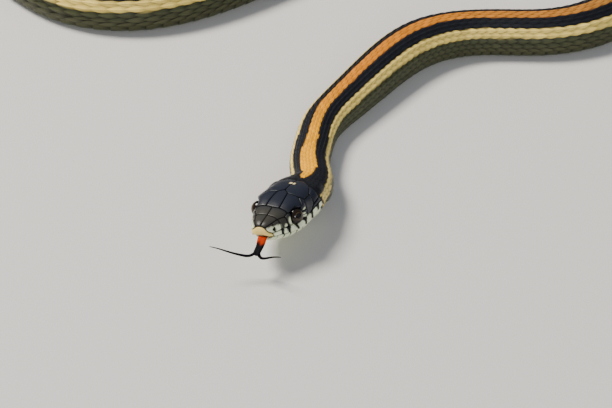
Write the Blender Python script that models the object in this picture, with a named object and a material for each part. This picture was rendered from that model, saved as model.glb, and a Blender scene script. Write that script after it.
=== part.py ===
"""Garter snake, a life-size still model: it rests on its belly in open bends,
with its head a little raised and turned and its forked tongue out.

Lengths in this script are millimetres, scaled to metres when a mesh is made.
"""
import math

import bmesh
import bpy
import numpy as np
from mathutils import Matrix, Vector, geometry
from mathutils.bvhtree import BVHTree

# Units and clearances
MM = 0.001
GAP = 0.3                     # between pieces that meet
PART_ORIGIN = (-26.05, 55.97)   # middle of the footprint, on the route's axes

# Pose of the head: place of the snout tip on the mouth line, and its turn
SNOUT = (-8.4, -8.6, 6.6)
HEAD_YAW = 26.4               # degrees, snout towards -Y and -X
HEAD_RISE = 7.8               # degrees, nose up
HEAD_ROLL = 5.0               # degrees, left side up

# Route of the belly line behind the head, on the floor plan
ROUTE = [
    (0.8, 19.6), (1.4, 26.6), (2.9, 33.7), (7.0, 41.3), (12.3, 49.5), (17.4, 57.0),
    (24.0, 63.6), (31.7, 66.8), (40.0, 67.3), (48.0, 67.3), (55.8, 69.4), (61.7, 73.0),
    (70.6, 79.3), (77.2, 88.5), (78.4, 100.2), (73.4, 111.2), (62.4, 118.4), (47.6, 121.0),
    (31.0, 117.6), (14.6, 109.6), (0.5, 99.6), (-10.0, 90.8), (-17.5, 85.0), (-27.0, 79.5),
    (-37.5, 77.1), (-48.0, 79.8), (-56.5, 87.0), (-65.0, 96.4), (-76.5, 102.2), (-89.0, 101.6),
    (-99.5, 94.8), (-105.0, 83.6), (-104.6, 70.6), (-99.0, 58.0), (-91.4, 46.6), (-85.6, 34.6),
    (-84.6, 21.6), (-89.0, 9.6), (-98.0, 0.8), (-110.0, -3.0), (-122.0, -0.6), (-131.0, 7.6),
    (-135.0, 19.4), (-133.4, 31.6), (-127.0, 41.6), (-118.4, 48.6),
]

# Body along its length: distance from the snout and size there
HEAD_LENGTH = 19.0
WIDTH = [(19, 9.0), (23, 8.3), (28, 8.1), (38, 7.9), (46, 8.3), (56, 9.1), (70, 10.1), (82, 10.6),
         (94, 10.3), (120, 10.6), (220, 12.0), (300, 11.5), (345, 10.9), (370, 10.2), (418, 8.1), (434, 7.2),
         (468, 5.4), (506, 3.6), (556, 0.9)]
FLATNESS = [(19, 0.73), (25, 0.78), (34, 0.78), (60, 0.76), (390, 0.76), (450, 0.84), (556, 0.9)]
BELLY_FLAT = [(19, 0.45), (60, 0.66), (410, 0.66), (450, 0.5), (556, 0.45)]
LIFT = [(28, 0.6), (36, 0.2), (46, 0.0), (556, 0.0)]
TWIST = [(19, HEAD_ROLL), (26, 3.0), (36, 0.0), (556, 0.0)]
SHOULDER = 0.44               # height of the widest place, as a share of the height
ROUNDNESS = 2.1               # exponent of the back's curve
VENT = 425.0
NECK_END = 46.0
BODY_LENGTHS = 8
TAIL_LENGTHS = 3
TAIL_TIP = 556.0
RING_STEP = 4.4

# Head: x runs back from the snout, y to the animal's right, z up from the mouth line
HALF_WIDTH = [(0.0, 0.9), (0.25, 1.5), (0.6, 1.85), (1.2, 2.25), (2.0, 2.7), (3.0, 3.2), (4.5, 3.88),
              (7.0, 4.6), (10.0, 4.95), (12.0, 5.1), (14.0, 5.25), (15.6, 5.25), (17.2, 5.0), (19.0, 4.6)]
CROWN = [(0.0, 1.55), (0.25, 2.0), (0.6, 2.35), (1.2, 2.65), (2.0, 2.85), (3.0, 3.12), (5.0, 3.75),
         (7.0, 4.45), (9.0, 4.9), (11.0, 5.05), (13.0, 4.98), (15.0, 4.8), (17.0, 4.6), (19.0, 4.45)]
MOUTH = [(0.0, 0.0), (1.0, -0.05), (2.7, -0.12), (4.2, -0.35), (7.0, -0.62), (9.5, -0.66), (12.0, -0.25),
         (13.8, 0.45), (15.6, 0.8), (19.0, 0.9)]
CHIN = [(0.0, -0.5), (0.6, -0.65), (1.2, -0.95), (2.5, -1.55), (4.5, -2.15), (8.0, -2.75), (12.0, -2.9),
        (15.6, -2.65), (19.0, -2.25)]
HEAD_STATIONS = (0.0, 0.25, 0.6, 1.2, 2.0, 3.0, 4.2, 5.5, 7.0, 8.5, 10.0, 11.5, 13.0, 14.3, 15.4, 16.4, 17.6,
                 19.0)
CROWN_POWER = 3.3             # boxiness of the upper head
CHIN_POWER = 2.1              # boxiness of the lower jaw
CROWN_TAPER = 0.04            # how much narrower the crown is than the lips
BROW = 0.2                    # how much wider the crown is over the eyes
BROW_SPREAD = 2.4
JAW_START = 1.0               # the jaw's front, behind the snout's
JAW_END = 16.0                # the jaw's rear face, below the corner of the mouth
JAW_INSET = [(1.0, 0.4), (8.0, 0.65), (19.0, 0.65)]   # the lower lip lies this far inside the upper
JAW_SETBACK = 0.6             # and follows its outline this far behind

# Eyes
EYE_CENTRE = (7.05, 3.65, 1.95)
EYE_RADIUS = 1.6

# Nostrils
NOSTRIL = (1.55, 1.4)         # back from the snout and up
NOSTRIL_RADIUS = 0.32

# Shields: outlines of the right half, as plates raised on the head
PLATE_RISE = 0.18
PLATE_ROOT = 0.45
GROOVE = 0.26
PLATE_STEP = 1.1
MIDLINE_PLATES_TOP = {
    "frontal": [(5.35, -1.3), (9.4, -1.0), (10.6, 0.0), (9.4, 1.0), (5.35, 1.3)],
}
PAIRED_PLATES_TOP = {
    "internasal": [(0.8, 0.0), (3.05, 0.0), (2.95, 1.45), (2.1, 1.75), (1.1, 1.2)],
    "prefrontal": [(3.05, 0.0), (5.35, 0.0), (5.35, 1.35), (5.0, 2.6), (4.2, 2.75), (2.95, 1.45)],
    "supraocular": [(5.35, 1.35), (9.4, 1.05), (9.3, 2.9), (8.6, 3.75), (7.0, 4.0), (5.7, 3.55),
                    (5.05, 2.6)],
    "parietal": [(10.6, 0.0), (15.2, 0.0), (15.7, 0.9), (15.0, 2.3), (12.6, 3.4), (10.4, 3.75),
                 (9.35, 2.9), (9.45, 1.05)],
}
MIDLINE_PLATES_FRONT = {
    "rostral": [(-1.5, 0.12), (1.5, 0.12), (1.25, 1.1), (0.6, 1.85), (-0.6, 1.85), (-1.25, 1.1)],
}
LIP_EDGES = (1.25, 2.9, 4.3, 6.6, 9.0, 11.3, 13.5, 15.5)     # seams between upper lip shields
LIP_TOPS = (0.85, 0.95, 0.95, 0.5, 0.5, 1.35, 1.9, 2.0)      # their upper edge at each seam
LOWER_LIP_EDGES = (1.7, 2.8, 4.1, 5.6, 7.3, 9.2, 11.3, 13.4, 15.3)
LOWER_LIP_SHARE = 0.5         # how far down the jaw they reach
LIP_MARGIN = 0.03             # between the lip shields and the slit of the mouth
PAIRED_PLATES_SIDE = {
    "nasal_front": [(0.8, 0.9), (1.53, 0.9), (1.53, 2.15), (1.1, 2.0)],
    "nasal_rear": [(1.57, 0.95), (2.8, 1.0), (2.8, 2.3), (1.57, 2.15)],
    "loreal": [(2.85, 1.0), (4.35, 1.0), (4.35, 2.35), (2.85, 2.3)],
    "preocular": [(4.4, 1.0), (5.2, 0.75), (5.2, 3.0), (4.4, 2.6)],
    "postocular_low": [(8.5, 0.7), (9.6, 1.1), (9.6, 1.9), (8.6, 1.7)],
    "postocular_mid": [(8.6, 1.7), (9.6, 1.9), (9.55, 2.75), (8.7, 2.6)],
    "postocular_high": [(8.7, 2.6), (9.55, 2.75), (9.4, 3.5), (8.4, 3.3)],
    "temporal_front": [(9.65, 1.2), (11.3, 1.5), (12.3, 2.2), (11.9, 3.0), (9.6, 3.1)],
    "temporal_low": [(11.4, 1.5), (13.5, 2.0), (14.2, 2.3), (13.9, 2.7), (12.3, 2.2)],
    "temporal_high": [(12.3, 2.3), (13.9, 2.8), (13.6, 3.5), (12.0, 3.2)],
}
MENTAL = [(-0.7, -0.75), (0.7, -0.75), (0.85, -0.3), (-0.85, -0.3)]
PAIRED_PLATES_UNDER = {
    "chin_shield_front": [(2.3, 0.0), (5.4, 0.0), (5.7, 1.2), (4.6, 1.65), (2.6, 1.05)],
    "chin_shield_rear": [(5.5, 0.0), (9.0, 0.35), (9.2, 1.3), (7.6, 1.9), (5.75, 1.25)],
}

# Tongue, on the head's axes: its stem's line and its two tines' lines
STEM = [(1.2, -0.35, 0.12), (0.0, -0.5, 0.0), (-1.45, -0.75, -0.8), (-2.4, -0.68, -1.55),
        (-3.2, -0.6, -2.2)]
STEM_WIDTH = 1.9
STEM_END_WIDTH = 1.45
STEM_THICKNESS = 0.55
TINE_RIGHT = [(-2.6, -0.45, -1.75), (-3.3, 0.4, -2.3), (-4.0, 1.9, -2.2), (-4.9, 3.6, -1.6),
              (-6.2, 5.4, -0.6), (-7.5, 6.6, 0.2)]
TINE_LEFT = [(-2.5, -0.85, -1.75), (-3.0, -1.6, -2.5), (-2.95, -2.8, -2.35), (-3.1, -4.0, -1.85),
             (-3.85, -6.2, -1.05)]
TINE_WIDTH = 0.75
TINE_TIP_WIDTH = 0.28
TINE_THICKNESS = 0.55

# How many points shape each rounded outline
BACK_POINTS = 6
FLANK_POINTS = 4
CROWN_POINTS = 21
JAW_POINTS = 15
INNER_FACE = (-0.6, -0.2, 0.2, 0.6)   # points across the palate and the jaw's upper face
EYE_FACETS = (20, 12)         # round and from pole to pole
NOSTRIL_FACETS = (8, 6)
RIBBON_RINGS = 12
RIBBON_SIDES = 10

COLOURS = {
    "back_black": (0.035, 0.037, 0.045),
    "crown": (0.07, 0.075, 0.085),
    "jaw_cream": (0.62, 0.60, 0.45),
    "eye_dark": (0.02, 0.015, 0.012),
    "tongue_red": (0.55, 0.07, 0.03),
}


def profile(table, at):
    """Smooth value between the stations of a table, without overshoot."""
    x, y = np.array(table, float).T
    slope = np.diff(y) / np.diff(x)
    inner = np.where(slope[:-1] * slope[1:] > 0, 2 * slope[:-1] * slope[1:], 0.0)
    inner = inner / np.where(inner != 0, slope[:-1] + slope[1:], 1.0)
    tangent = np.concatenate([slope[:1], inner, slope[-1:]])
    at = np.clip(np.asarray(at, float), x[0], x[-1])
    k = np.clip(np.searchsorted(x, at, side="right") - 1, 0, len(x) - 2)
    h = x[k + 1] - x[k]
    t = (at - x[k]) / h
    rise = y[k] * (1 + 2 * t) * (1 - t) ** 2 + y[k + 1] * t * t * (3 - 2 * t)
    return rise + h * t * (1 - t) * (tangent[k] * (1 - t) - tangent[k + 1] * t)


def smooth_curve(points, step=0.25):
    """Natural cubic curve through the points, as finely spaced places."""
    p = np.array(points, float)
    t = np.concatenate([[0.0], np.cumsum(np.linalg.norm(np.diff(p, axis=0), axis=1))])
    h = np.diff(t)[:, None]
    count = len(p)
    system = np.eye(count)
    right_side = np.zeros_like(p)
    for i in range(1, count - 1):
        system[i, i - 1:i + 2] = h[i - 1, 0], 2 * (h[i - 1, 0] + h[i, 0]), h[i, 0]
        right_side[i] = 6 * ((p[i + 1] - p[i]) / h[i] - (p[i] - p[i - 1]) / h[i - 1])
    bend = np.linalg.solve(system, right_side)
    fine = np.linspace(0.0, t[-1], int(t[-1] / step) + 1)
    k = np.clip(np.searchsorted(t, fine, side="right") - 1, 0, count - 2)
    b = (fine - t[k])[:, None] / h[k]
    a = 1 - b
    return a * p[k] + b * p[k + 1] + ((a ** 3 - a) * bend[k] + (b ** 3 - b) * bend[k + 1]) * h[k] ** 2 / 6


def head_matrix():
    """Turn and place of the head: its axes run back, to the right and up."""
    yaw, rise, roll = (math.radians(v) for v in (HEAD_YAW, HEAD_RISE, HEAD_ROLL))
    forward = Vector((-math.sin(yaw), -math.cos(yaw), 0.0))
    left = Vector((math.cos(yaw), -math.sin(yaw), 0.0))
    up = Vector((0.0, 0.0, 1.0))
    nose = forward * math.cos(rise) + up * math.sin(rise)
    crown = up * math.cos(rise) - forward * math.sin(rise)
    side = left * math.cos(roll) + crown * math.sin(roll)
    crown = crown * math.cos(roll) - left * math.sin(roll)
    turn = Matrix((-nose, -side, crown)).transposed().to_4x4()
    place = Vector((SNOUT[0] - PART_ORIGIN[0], SNOUT[1] - PART_ORIGIN[1], SNOUT[2]))
    return Matrix.Translation(place * MM) @ turn


def belly_line():
    """Distance from the snout and the belly's place, finely along the animal."""
    pose = head_matrix()
    throat = float(profile(CHIN, HEAD_LENGTH))
    stations = [HEAD_LENGTH + x for x in (-10.0, -5.0, 0.0, 2.0)]
    axis = [pose @ (Vector((x, 0.0, throat)) * MM) / MM for x in stations]
    start = [(a.x, a.y) for a in axis]
    plan = smooth_curve(start + [(x - PART_ORIGIN[0], y - PART_ORIGIN[1]) for x, y in ROUTE])
    length = np.concatenate([[0.0], np.cumsum(np.linalg.norm(np.diff(plan, axis=0), axis=1))])
    nape = np.argmin(np.linalg.norm(plan - np.array(start[2]), axis=1))
    length += HEAD_LENGTH - length[nape]
    lift = [(x, a.z) for x, a in zip(stations, axis)] + LIFT
    return length, np.column_stack([plan, profile(lift, length)])


def half_section(width, height, flat):
    """Right half of a cross-section, from the spine round to the belly's middle."""
    half = width / 2
    shoulder = SHOULDER * height
    back = np.linspace(0, math.pi / 2, BACK_POINTS)
    flank = np.linspace(0, math.pi / 2, FLANK_POINTS)[1:]
    upper = [(half * math.sin(t) ** (2 / ROUNDNESS),
              shoulder + (height - shoulder) * max(math.cos(t), 0.0) ** (2 / ROUNDNESS)) for t in back]
    lower = [(half * (flat + (1 - flat) * math.cos(t)), shoulder * (1 - math.sin(t))) for t in flank]
    return upper + lower


def body_ring(length, line, s):
    """Points of the cross-section at distance s from the snout."""
    place = np.array([np.interp(s, length, line[:, i]) for i in range(3)])
    ahead = np.array([np.interp(s + 0.5, length, line[:, i]) for i in range(3)])
    behind = np.array([np.interp(s - 0.5, length, line[:, i]) for i in range(3)])
    along = Vector(ahead - behind).normalized()
    up = (Vector((0, 0, 1)) - along * along.z).normalized()
    up = Matrix.Rotation(-math.radians(float(profile(TWIST, s))), 3, along) @ up
    right = up.cross(along)
    width = float(profile(WIDTH, s))
    half = half_section(width, width * float(profile(FLATNESS, s)), float(profile(BELLY_FLAT, s)))
    outline = half + [(-x, z) for x, z in half[-1::-1]][:-1]
    lowest = 0.0 if place[2] < 1e-6 else place[2]
    base = Vector((place[0], place[1], lowest))
    return [base + right * x + up * z for x, z in outline]


def loft(rings):
    """Closed mesh through rings of equal count, with flat ends."""
    shape = bmesh.new()
    layers = [[shape.verts.new(Vector(p) * MM) for p in ring] for ring in rings]
    count = len(layers[0])
    for lower, upper in zip(layers, layers[1:]):
        for i in range(count):
            j = (i + 1) % count
            shape.faces.new((lower[i], lower[j], upper[j], upper[i]))
    shape.faces.new(layers[0][::-1])
    shape.faces.new(layers[-1])
    bmesh.ops.recalc_face_normals(shape, faces=shape.faces)
    return shape


def to_object(name, shape, parent=None):
    """Object from a bmesh, under the head's empty where one is given."""
    mesh = bpy.data.meshes.new(name)
    shape.to_mesh(mesh)
    shape.free()
    piece = bpy.data.objects.new(name, mesh)
    piece.parent = parent
    bpy.context.scene.collection.objects.link(piece)
    return piece


def dress(piece, colour, roughness):
    """Give the piece its own material and smooth shading."""
    material = bpy.data.materials.new(piece.name)
    material.use_nodes = True
    shader = material.node_tree.nodes["Principled BSDF"]
    shader.inputs["Base Color"].default_value = (*COLOURS[colour], 1.0)
    shader.inputs["Roughness"].default_value = roughness
    shader.inputs["Metallic"].default_value = 0.0
    piece.data.materials.clear()
    piece.data.materials.append(material)
    piece.data.shade_smooth()
    piece.data.set_sharp_from_angle(angle=math.radians(40))


def keep_largest(shape):
    """Drop every closed surface but the one that holds the most."""
    islands = []
    unseen = set(shape.verts)
    while unseen:
        stack = [unseen.pop()]
        island = set(stack)
        while stack:
            for edge in stack.pop().link_edges:
                for vert in edge.verts:
                    if vert in unseen:
                        unseen.discard(vert)
                        island.add(vert)
                        stack.append(vert)
        islands.append(island)
    largest = max(islands, key=len)
    loose = [v for island in islands if island is not largest for v in island]
    bmesh.ops.delete(shape, geom=loose, context="VERTS")


def apply_modifiers(piece):
    """Replace the piece's mesh with its evaluated one, as one closed surface."""
    graph = bpy.context.evaluated_depsgraph_get()
    mesh = bpy.data.meshes.new_from_object(piece.evaluated_get(graph))
    piece.modifiers.clear()
    shape = bmesh.new()
    shape.from_mesh(mesh)
    bmesh.ops.remove_doubles(shape, verts=shape.verts, dist=1e-6)
    bmesh.ops.triangulate(shape, faces=shape.faces)
    keep_largest(shape)
    shape.to_mesh(mesh)
    shape.free()
    piece.data = mesh


def combine(piece, extras, operation):
    """Join the extras to the piece, or cut them from it, in one Boolean."""
    group = bpy.data.collections.new(piece.name + "_extras")
    bpy.context.scene.collection.children.link(group)
    for extra in extras:
        bpy.context.scene.collection.objects.unlink(extra)
        group.objects.link(extra)
    boolean = piece.modifiers.new("combine", "BOOLEAN")
    boolean.operation = operation
    boolean.operand_type = "COLLECTION"
    boolean.collection = group
    boolean.solver = "EXACT"
    apply_modifiers(piece)
    for extra in extras:
        bpy.data.objects.remove(extra)
    bpy.data.collections.remove(group)


def upper_ring(x):
    """Section of the upper head, from lip over the crown to lip and back along the palate."""
    half = float(profile(HALF_WIDTH, x))
    crown = float(profile(CROWN, x))
    lip = float(profile(MOUTH, x)) + GAP / 2
    brow = BROW * math.exp(-((x - EYE_CENTRE[0] - 0.8) / BROW_SPREAD) ** 2)
    points = []
    for t in np.linspace(0, math.pi, CROWN_POINTS):
        share = math.sin(t) ** (2 / CROWN_POWER)
        reach = abs(math.cos(t)) ** (2 / CROWN_POWER) * math.copysign(1.0, math.cos(t))
        wider = 1 - CROWN_TAPER * share + brow * share ** 2
        points.append((x, half * reach * wider, lip + (crown - lip) * share))
    palate = [(x, half * f, lip) for f in INNER_FACE]
    return points + palate


def lower_ring(x, top):
    """Section of the lower jaw, with its upper face at the given height above the mouth line."""
    half = float(profile(HALF_WIDTH, x - JAW_SETBACK)) - float(profile(JAW_INSET, x))
    floor = float(profile(CHIN, x))
    lip = float(profile(MOUTH, x)) + top
    points = []
    for t in np.linspace(0, math.pi, JAW_POINTS):
        share = math.sin(t) ** (2 / CHIN_POWER)
        reach = abs(math.cos(t)) ** (2 / CHIN_POWER) * math.copysign(1.0, math.cos(t))
        points.append((x, half * reach, lip + (floor - lip) * share))
    roof = [(x, half * f, lip) for f in INNER_FACE]
    return points + roof


def inset(outline, distance):
    """Outline moved inwards by the distance; it runs anticlockwise."""
    points = [Vector(p) for p in outline]
    moved = []
    for i, here in enumerate(points):
        before = (here - points[i - 1]).normalized()
        after = (points[(i + 1) % len(points)] - here).normalized()
        normal = Vector((-before.y - after.y, before.x + after.x))
        reach = distance / max(0.5, math.sqrt((1 + before.dot(after)) / 2))
        moved.append(here + normal.normalized() * reach)
    return moved


def divided(outline, step):
    """Outline with its long edges divided."""
    points = []
    for a, b in zip(outline, outline[1:] + outline[:1]):
        parts = max(1, math.ceil((b - a).length / step))
        points += [a.lerp(b, i / parts) for i in range(parts)]
    return points


def distance_to_outline(point, outline):
    """Distance from a point to the nearest edge of an outline."""
    edges = zip(outline, outline[1:] + outline[:1])
    nearest = [geometry.intersect_point_line(point, a, b) for a, b in edges]
    edges = zip(outline, outline[1:] + outline[:1])
    places = [a.lerp(b, min(max(n[1], 0), 1)) for n, (a, b) in zip(nearest, edges)]
    return min((point - place).length for place in places)


def filled(outline, step):
    """Points and triangles that fill an outline."""
    points = divided(outline, step)
    count = len(points)
    low = [min(p[i] for p in points) for i in range(2)]
    high = [max(p[i] for p in points) for i in range(2)]
    for x in np.arange(low[0] + step / 2, high[0], step):
        for y in np.arange(low[1] + step / 2, high[1], step):
            spot = Vector((x, y))
            if distance_to_outline(spot, outline) > step * 0.4:
                points.append(spot)
    result = geometry.delaunay_2d_cdt(points, [], [list(range(count))], 1, 1e-5)
    return result[0], result[2]


VIEWS = {
    "top": (lambda a, b: Vector((a, b, 9.0)), Vector((0, 0, -1))),
    "side": (lambda a, b: Vector((a, 9.0, b)), Vector((0, -1, 0))),
    "front": (lambda a, b: Vector((-9.0, a, b)), Vector((1, 0, 0))),
    "under": (lambda a, b: Vector((a, b, -9.0)), Vector((0, 0, 1))),
}


def plate(outline, view, tree, heart, parent, mirrored=False):
    """A closed plate that follows the head's surface, its root sunk in it."""
    start, direction = VIEWS[view]
    if sum(a[0] * b[1] - b[0] * a[1] for a, b in zip(outline, outline[1:] + outline[:1])) < 0:
        outline = outline[::-1]
    points, triangles = filled(inset(outline, GROOVE / 2), PLATE_STEP)
    tops = []
    roots = []
    for a, b in points:
        hit = tree.ray_cast(start(a, b) * MM, direction)[0]
        if hit is None:
            return None
        hit = hit / MM
        core = Vector((min(max(hit.x, 2.6), 16.5), 0.0, heart))
        outward = (hit - core).normalized()
        tops.append(hit + outward * PLATE_RISE)
        roots.append(hit - outward * PLATE_ROOT)
    side = Vector((1.0, -1.0 if mirrored else 1.0, 1.0))
    shape = bmesh.new()
    upper = [shape.verts.new(p * side * MM) for p in tops]
    lower = [shape.verts.new(p * side * MM) for p in roots]
    for triangle in triangles:
        shape.faces.new([upper[i] for i in triangle])
        shape.faces.new([lower[i] for i in reversed(triangle)])
    edges = [pair for t in triangles for pair in zip(t, t[1:] + t[:1])]
    for i, j in edges:
        if (j, i) not in edges:
            shape.faces.new((upper[j], upper[i], lower[i], lower[j]))
    bmesh.ops.recalc_face_normals(shape, faces=shape.faces)
    return to_object("plate", shape, parent)


def lip_plates():
    """Outlines of the upper lip shields, from the snout to the corner of the mouth."""
    outlines = []
    for a, b, high_a, high_b in zip(LIP_EDGES, LIP_EDGES[1:], LIP_TOPS, LIP_TOPS[1:]):
        low_a, low_b = (float(profile(MOUTH, x)) + GAP / 2 + LIP_MARGIN for x in (a, b))
        outlines.append([(a, low_a), (b, low_b), (b, high_b), (a, high_a)])
    return outlines


def lower_lip_plates():
    """Outlines of the lower lip shields."""
    corners = []
    for x in LOWER_LIP_EDGES:
        high = float(profile(MOUTH, x)) - GAP / 2 - LIP_MARGIN
        corners.append((x, high, high + LOWER_LIP_SHARE * (float(profile(CHIN, x)) - high)))
    return [[(a, low_a), (b, low_b), (b, high_b), (a, high_a)]
            for (a, high_a, low_a), (b, high_b, low_b) in zip(corners, corners[1:])]


def raise_plates(piece, tables, heart, parent):
    """Raise the shields of these tables on the piece; a table is (view, outlines, paired)."""
    shape = bmesh.new()
    shape.from_mesh(piece.data)
    tree = BVHTree.FromBMesh(shape)
    shape.free()
    plates = []
    for view, outlines, paired in tables:
        for outline in outlines:
            for mirrored in (False, True)[:1 + paired]:
                made = plate(outline, view, tree, heart, parent, mirrored)
                if made:
                    plates.append(made)
    combine(piece, plates, "UNION")


def y_at(piece, x, z):
    """How far out the piece's right side lies at this place."""
    shape = bmesh.new()
    shape.from_mesh(piece.data)
    hit = BVHTree.FromBMesh(shape).ray_cast(VIEWS["side"][0](x, z) * MM, VIEWS["side"][1])[0]
    shape.free()
    return hit.y / MM


def ball(name, centre, radius, parent, facets=EYE_FACETS):
    """Sphere on the head's axes."""
    shape = bmesh.new()
    bmesh.ops.create_uvsphere(shape, u_segments=facets[0], v_segments=facets[1], radius=radius * MM)
    bmesh.ops.translate(shape, verts=shape.verts, vec=Vector(centre) * MM)
    return to_object(name, shape, parent)


def block(name, low, high, parent):
    """Box on the head's axes between two corners."""
    shape = bmesh.new()
    bmesh.ops.create_cube(shape, size=1.0)
    size = Vector(high) - Vector(low)
    for vert in shape.verts:
        vert.co = (Vector(low) + Vector(a * (c + 0.5) for a, c in zip(size, vert.co))) * MM
    return to_object(name, shape, parent)


def tongue_notch(parent):
    """Cutter for the gap at the lips that the tongue leaves by."""
    half = STEM_WIDTH / 2 + GAP
    thick = STEM_THICKNESS / 2 + GAP
    root = Vector(STEM[0])
    low = (-2.0, root.y - half, root.z - thick)
    high = (root.x + GAP, root.y + half, root.z + thick)
    return block("notch", low, high, parent)


def build_head(pose):
    """Cranium and upper jaw with the throat behind the mouth's corner, and its shields."""
    head = to_object("head", loft([upper_ring(x) for x in HEAD_STATIONS]), pose)
    throat_stations = [x for x in HEAD_STATIONS if x > JAW_END + GAP]
    throat_stations = [JAW_END + GAP] + [x for x in throat_stations if x > JAW_END + 2 * GAP]
    throat = to_object("throat", loft([lower_ring(x, 1.0) for x in throat_stations]), pose)
    combine(head, [throat], "UNION")
    tables = [
        ("top", MIDLINE_PLATES_TOP.values(), False),
        ("top", PAIRED_PLATES_TOP.values(), True),
        ("front", MIDLINE_PLATES_FRONT.values(), False),
        ("side", PAIRED_PLATES_SIDE.values(), True),
        ("side", lip_plates(), True),
    ]
    raise_plates(head, tables, 1.4, pose)
    cutters = [tongue_notch(pose)]
    for side in (-1, 1):
        x, y, z = EYE_CENTRE
        cutters.append(ball("socket", (x, side * y, z), EYE_RADIUS + GAP, pose))
        x, z = NOSTRIL
        place = (x, side * y_at(head, x, z), z)
        cutters.append(ball("nostril", place, NOSTRIL_RADIUS, pose, NOSTRIL_FACETS))
    combine(head, cutters, "DIFFERENCE")
    dress(head, "crown", 0.38)


def build_jaw(pose):
    """Lower jaw with its lip shields and chin shields."""
    stations = [JAW_START] + [x for x in HEAD_STATIONS if JAW_START + 0.3 < x < JAW_END - 0.4] + [JAW_END]
    jaw = to_object("lower_jaw", loft([lower_ring(x, -GAP / 2) for x in stations]), pose)
    tables = [
        ("front", [MENTAL], False),
        ("side", lower_lip_plates(), True),
        ("under", PAIRED_PLATES_UNDER.values(), True),
    ]
    raise_plates(jaw, tables, -0.9, pose)
    combine(jaw, [tongue_notch(pose)], "DIFFERENCE")
    dress(jaw, "jaw_cream", 0.45)


def build_eyes(pose):
    """The two eyeballs, each clear of its socket."""
    x, y, z = EYE_CENTRE
    for name, side in (("eye_left", -1), ("eye_right", 1)):
        eye = ball(name, (x, side * y, z), EYE_RADIUS, pose)
        dress(eye, "eye_dark", 0.08)


def ribbon(name, line, width, tip_width, thickness, parent):
    """Flattened tapered rod along a line, for the tongue."""
    places = smooth_curve(line, 0.1)
    stations = np.linspace(0, len(places) - 1, RIBBON_RINGS).astype(int)
    rings = []
    for i in stations:
        here = Vector(places[i])
        along = Vector(places[min(i + 2, len(places) - 1)] - places[max(i - 2, 0)]).normalized()
        across = along.cross(Vector((0, 0, 1))).normalized()
        over = across.cross(along)
        share = i / (len(places) - 1)
        half = (width + (tip_width - width) * share) / 2
        deep = min(thickness / 2, half)
        turns = [2 * math.pi * k / RIBBON_SIDES for k in range(RIBBON_SIDES)]
        rings.append([here + across * half * math.cos(t) + over * deep * math.sin(t) for t in turns])
    return to_object(name, loft(rings), parent)


def build_tongue(pose):
    """Stem and two spread tines, joined."""
    tongue = ribbon("tongue", STEM, STEM_WIDTH, STEM_END_WIDTH, STEM_THICKNESS, pose)
    tines = [ribbon("tine", line, TINE_WIDTH, TINE_TIP_WIDTH, TINE_THICKNESS, pose)
             for line in (TINE_RIGHT, TINE_LEFT)]
    combine(tongue, tines, "UNION")
    dress(tongue, "tongue_red", 0.3)


def build_length(name, length, line, start, end):
    """One length of the body between two distances from the snout."""
    steps = max(3, math.ceil((end - start) / RING_STEP))
    rings = [body_ring(length, line, s) for s in np.linspace(start + GAP / 2, end - GAP / 2, steps + 1)]
    dress(to_object(name, loft(rings)), "back_black", 0.4)


def build_body():
    """Neck, body and tail, end to end."""
    length, line = belly_line()
    build_length("neck", length, line, HEAD_LENGTH + GAP / 2, NECK_END)
    joints = np.linspace(NECK_END, VENT, BODY_LENGTHS + 1)
    for i in range(BODY_LENGTHS):
        build_length(f"body_{i + 1}", length, line, joints[i], joints[i + 1])
    joints = np.linspace(VENT, TAIL_TIP, TAIL_LENGTHS + 1)
    for i in range(TAIL_LENGTHS):
        build_length(f"tail_{i + 1}", length, line, joints[i], joints[i + 1])
    print("belly line length", round(float(length[-1]), 1))


def main():
    for old in list(bpy.data.objects):
        bpy.data.objects.remove(old)
    pose = bpy.data.objects.new("head_pose", None)
    pose.matrix_world = head_matrix()
    bpy.context.scene.collection.objects.link(pose)
    build_head(pose)
    build_jaw(pose)
    build_eyes(pose)
    build_tongue(pose)
    build_body()


main()
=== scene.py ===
"""Looks of the garter snake: one skin, its scales and shields, eyes and tongue.

Lengths are millimetres until a mesh is made. Distances along the animal run from the snout.
Round the body, 0 is the spine and 1 the middle of the belly, on the right positive.
"""

import math

import bmesh
import bpy
import numpy as np
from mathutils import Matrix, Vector, geometry
from mathutils.bvhtree import BVHTree


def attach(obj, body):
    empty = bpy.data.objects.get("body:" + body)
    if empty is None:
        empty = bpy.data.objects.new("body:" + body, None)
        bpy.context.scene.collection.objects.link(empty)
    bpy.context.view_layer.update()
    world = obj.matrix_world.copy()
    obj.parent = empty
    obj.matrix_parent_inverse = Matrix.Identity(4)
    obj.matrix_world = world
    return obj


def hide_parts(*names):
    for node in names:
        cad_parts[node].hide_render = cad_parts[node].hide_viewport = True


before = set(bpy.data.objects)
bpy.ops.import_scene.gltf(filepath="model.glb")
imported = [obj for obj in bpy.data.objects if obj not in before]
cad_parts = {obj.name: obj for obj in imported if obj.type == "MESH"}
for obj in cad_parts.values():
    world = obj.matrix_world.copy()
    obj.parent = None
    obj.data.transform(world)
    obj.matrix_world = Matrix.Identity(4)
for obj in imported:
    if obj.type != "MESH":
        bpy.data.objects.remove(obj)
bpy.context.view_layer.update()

MM = 0.001
rng = np.random.default_rng(17)

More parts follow.
